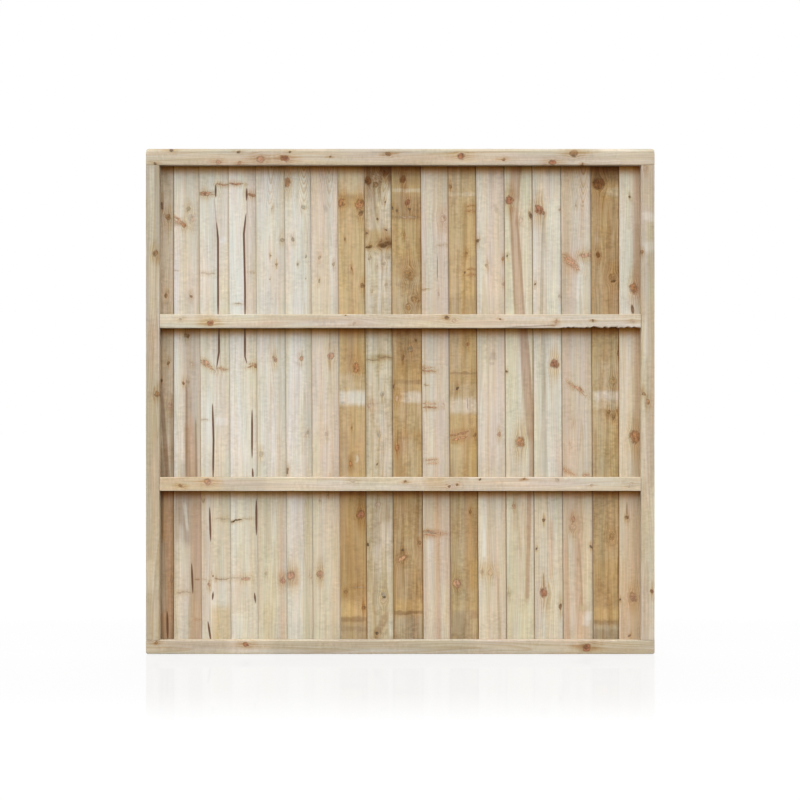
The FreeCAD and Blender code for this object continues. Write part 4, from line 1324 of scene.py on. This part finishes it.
def streaked(graph, name, look, loose, frayed):
    """The timber's tone with its streaks laid over it, one after another."""
    tone = opaque(value * look.shade for value in TONES[look.tone])
    for values in look.streaks:
        streak = Streak(*values)
        start = grain_place(streak.across, streak.start, name)
        end = grain_place(streak.across + streak.drift, streak.end, name)
        reach = abs(end[1] - start[1]) / 2
        half = streak.half * FACE_PIXEL
        tone = graph.group(STREAK_NODES, {
            "Grain": frayed if reach > NARROW_BAND else loose, "Tone": tone,
            "Across": (start[0] + end[0]) / 2, "Along": (start[1] + end[1]) / 2,
            "Lean": (end[0] - start[0]) / (end[1] - start[1]), "Half": half, "Reach": reach,
            "Side Fade": half * SIDE_FADE,
            "End Fade": min(reach * END_FADE_MOST, END_FADE + reach * END_FADE_SHARE),
            "Tint": opaque(TONES[streak.tint]), "Strength": streak.strength,
        })["Tone"]
    return tone


def painted_lap_shade(graph, name, place, tone):
    """The tone with a dark line of painted shade where the next board laps over this one."""
    neighbour = BOARDS[BOARDS.index(name) + 1]
    seat = board_section(neighbour)[0]
    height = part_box(name)[1].z
    return graph.group(STREAK_NODES, {
        "Grain": place, "Tone": tone, "Across": seat[0] - LAP_HALF / 2, "Along": height / 2,
        "Lean": board_lean(neighbour), "Half": LAP_HALF, "Reach": height,
        "Side Fade": LAP_FADE, "End Fade": LAP_FADE,
        "Tint": LAP_SHADE_TINT, "Strength": FAINT_LAP_SHADE if name in FAINTLY_SHADED_LAPS else STRONG_LAP_SHADE,
    })["Tone"]


def knotted(graph, name, look, loose):
    """What the wood is given by its knots, each handing on to the next."""
    chain = {
        "Shift": 0.0, "Near": FAR_FROM_KNOTS, "Tail": FAR_FROM_KNOTS, "Core": opaque(TONES["brown"]),
        "Firm": 0.0,
    }
    knots = [(KNOTS[label], spot) for label, spots in look.knots.items() for spot in spots]
    for kind, (column, row, half_width) in knots:
        across, along = grain_place(row, column, name) if name in RAILS else grain_place(column, row, name)
        handed_on = graph.group(KNOT_NODES, {
            "Grain": loose, "Across": across, "Along": along, "Radius": half_width * MM,
            "Stretch": kind.stretch, "Bend": kind.bend, "Slope": kind.slope, "Tint": opaque(kind.tint),
            "Depth": kind.firm, **chain,
        })
        chain = {label: handed_on[label] for label in chain}
    return chain


def wood_material(name, look, seed):
    """The sawn wood of one timber, with its own streaks, knots and rings."""
    material, graph, surface = new_material("wood_" + name)
    spot = graph.add("ShaderNodeTexCoord").outputs
    place = spot["Object"]
    facing = graph.split(spot["Normal"])
    if name in RAILS:
        x, y, z = graph.split(place)
        place = graph.join(z, y, x)
    loose, frayed = loosened(graph, place)
    tone = streaked(graph, name, look, loose, frayed)
    if name in BOARDS[:-1]:
        tone = painted_lap_shade(graph, name, place, tone)

    low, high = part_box(name)
    across_middle = (low.z + high.z) / 2 if name in RAILS else (low.x + high.x) / 2
    rings = look.rings
    pith = graph.add("ShaderNodeAttribute", attribute_name="pith").outputs["Fac"] if look.pith else 0.0
    wood = graph.group(WOOD_NODES, {
        "Grain": place, "Tone": tone, "Pith": pith, "Ring Across": across_middle + rings.aside * MM,
        "Ring Depth": low.y + rings.behind * MM, "Ring Spacing": rings.spacing * MM,
        "Ring Contrast": rings.contrast, "Mottle": look.mottle, "Crown": look.crown,
        "Seed": seed * SEED_STEP, "Damp": float(name in BOARDS),
        "End": graph.math("ABSOLUTE", facing[0 if name in RAILS else 2]),
        "Framed": graph.math("LESS_THAN", facing[1], FRAMED_FACING), **knotted(graph, name, look, loose),
    })
    shader = graph.add("ShaderNodeBsdfPrincipled", {
        "Base Color": wood["Color"], "Roughness": wood["Roughness"], "Normal": wood["Normal"],
        "Specular IOR Level": WOOD_SPECULAR,
    })
    graph.feed(surface, shader.outputs[0])
    return material


ZINC = opaque((0.46, 0.47, 0.47))
DULL_ZINC = opaque((0.27, 0.275, 0.275))
ZINC_MOTTLE = ((420.0, 420.0, 420.0), 3.0)
ZINC_RANGE = (0.35, 0.65)
ZINC_ROUGHNESS = (0.3, 0.7, 0.42, 0.62)
PITTING = ((1600.0, 1600.0, 1600.0), 2.0)
PITTING_BUMP = {"Strength": 0.4, "Distance": 0.2 * MM}


def zinc_material():
    """Galvanised steel: dull mottled zinc with fine pitting."""
    material, graph, surface = new_material("galvanised_zinc")
    place = graph.add("ShaderNodeTexCoord").outputs["Object"]
    mottle = graph.noise(place, *ZINC_MOTTLE)
    pitting = graph.noise(place, *PITTING)
    shader = graph.add("ShaderNodeBsdfPrincipled", {
        "Base Color": graph.mix(graph.ease(mottle, *ZINC_RANGE), DULL_ZINC, ZINC),
        "Roughness": graph.ease(mottle, *ZINC_ROUGHNESS), "Metallic": 1.0,
        "Normal": graph.add("ShaderNodeBump", {**PITTING_BUMP, "Height": pitting}).outputs[0],
    })
    graph.feed(surface, shader.outputs[0])
    return material


# Dressing the frame

def dress(piece, node, material):
    """Makes a piece stand for its node, with its own material."""
    piece.data.materials.append(material)
    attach(piece, "root")
    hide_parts(node)


for seed, timber in enumerate(RAILS + STILES + BOARDS):
    chance = np.random.default_rng(seed)
    if timber in RAILS:
        sawn = sawn_rail(timber, chance)
    elif timber in STILES:
        sawn = sawn_stile(timber, chance)
    else:
        sawn = sawn_board(timber, chance)
    dress(sawn, timber, wood_material(timber, LOOKS[timber], seed))

zinc = zinc_material()
for group in ("board_nails", "frame_nails"):
    dress(nail_group("turned_" + group, group), group, zinc)


# Floor, light and camera

FLOOR_HALF = 40.0
FLOOR_ALBEDO = 0.045
FLOOR_BOUNCE = 0.05
FLOOR_GLOW = 0.925
MIRROR_SHARE = 0.14
MIRROR_FROM = 0.78
MIRROR_TO = 1.55
MIRROR_ROUGHNESS = 0.03
HORIZON_LEVEL = 1.3
ZENITH_GAIN = 1.1
GROUND_LEVEL = 0.1


def seen_directly(graph):
    """1 for rays that show the background itself: from the camera, in gloss or through glass."""
    path = graph.add("ShaderNodeLightPath").outputs
    shown = graph.math("MAXIMUM", path["Is Camera Ray"], path["Is Glossy Ray"])
    return graph.math("MAXIMUM", shown, path["Is Transmission Ray"])


def make_floor():
    """A white floor that takes the panel's shadow and a faint reflection that fades away from it."""
    sides = ((-1, -1), (1, -1), (1, 1), (-1, 1))
    corners = [(x * FLOOR_HALF, y * FLOOR_HALF, 0.0) for x, y in sides]
    mesh = bpy.data.meshes.new("floor")
    mesh.from_pydata(corners, [], [(0, 1, 2, 3)])
    floor = bpy.data.objects.new("floor", mesh)
    bpy.context.scene.collection.objects.link(floor)
    material, graph, surface = new_material("white_floor")
    shown = seen_directly(graph)
    level = graph.math("MULTIPLY_ADD", shown, FLOOR_ALBEDO - FLOOR_BOUNCE, FLOOR_BOUNCE)
    diffuse = graph.add("ShaderNodeBsdfDiffuse", {"Color": graph.join(level, level, level)}).outputs[0]
    glow = graph.math("MULTIPLY", shown, FLOOR_GLOW)
    emission = graph.add("ShaderNodeEmission", {"Strength": glow}).outputs[0]
    white = graph.add("ShaderNodeAddShader", {0: diffuse, 1: emission}).outputs[0]
    mirror = graph.add("ShaderNodeBsdfGlossy", {"Roughness": MIRROR_ROUGHNESS}).outputs[0]
    _, y, _ = graph.split(graph.add("ShaderNodeTexCoord").outputs["Object"])
    share = graph.ease(graph.math("ABSOLUTE", y), MIRROR_FROM, MIRROR_TO, MIRROR_SHARE, 0.0)
    blend = graph.add("ShaderNodeMixShader", {0: share, 1: white, 2: mirror})
    graph.feed(surface, blend.outputs[0])
    mesh.materials.append(material)


def make_sky():
    """A soft overcast sky, brighter overhead, that shows as plain white."""
    world = bpy.data.worlds.new("overcast")
    world.use_nodes = True
    world.node_tree.nodes.clear()
    graph = Graph(world.node_tree)
    _, _, up = graph.split(graph.add("ShaderNodeTexCoord").outputs["Generated"])
    rise = graph.math("MULTIPLY", graph.math("MAXIMUM", up, 0.0), ZENITH_GAIN * HORIZON_LEVEL)
    sky = graph.math("ADD", rise, HORIZON_LEVEL)
    above = graph.math("GREATER_THAN", up, 0.0)
    light = graph.math("MULTIPLY_ADD", above, graph.math("SUBTRACT", sky, GROUND_LEVEL), GROUND_LEVEL)
    shown = seen_directly(graph)
    strength = graph.math("MULTIPLY_ADD", shown, graph.math("SUBTRACT", 1.0, light), light)
    background = graph.add("ShaderNodeBackground", {"Color": opaque((1.0, 1.0, 1.0)), "Strength": strength})
    output = graph.add("ShaderNodeOutputWorld")
    graph.feed(output.inputs["Surface"], background.outputs[0])
    bpy.context.scene.world = world


def make_camera():
    """The photograph's view, level and square on to the framed side."""
    lens = bpy.data.cameras.new("camera")
    lens.sensor_width = SENSOR
    lens.lens = SENSOR * VIEW_DISTANCE / (PHOTO_WIDTH * FACE_PIXEL)
    camera = bpy.data.objects.new("camera", lens)
    aside = (PHOTO_WIDTH / 2 - PHOTO_MIDDLE[0]) * FACE_PIXEL
    camera.location = (aside, EYE_Y, EYE_HEIGHT)
    camera.rotation_euler = (math.pi / 2, 0.0, 0.0)
    bpy.context.scene.collection.objects.link(camera)
    bpy.context.scene.camera = camera


make_floor()
make_sky()
make_camera()
bpy.context.scene.view_settings.view_transform = "Standard"
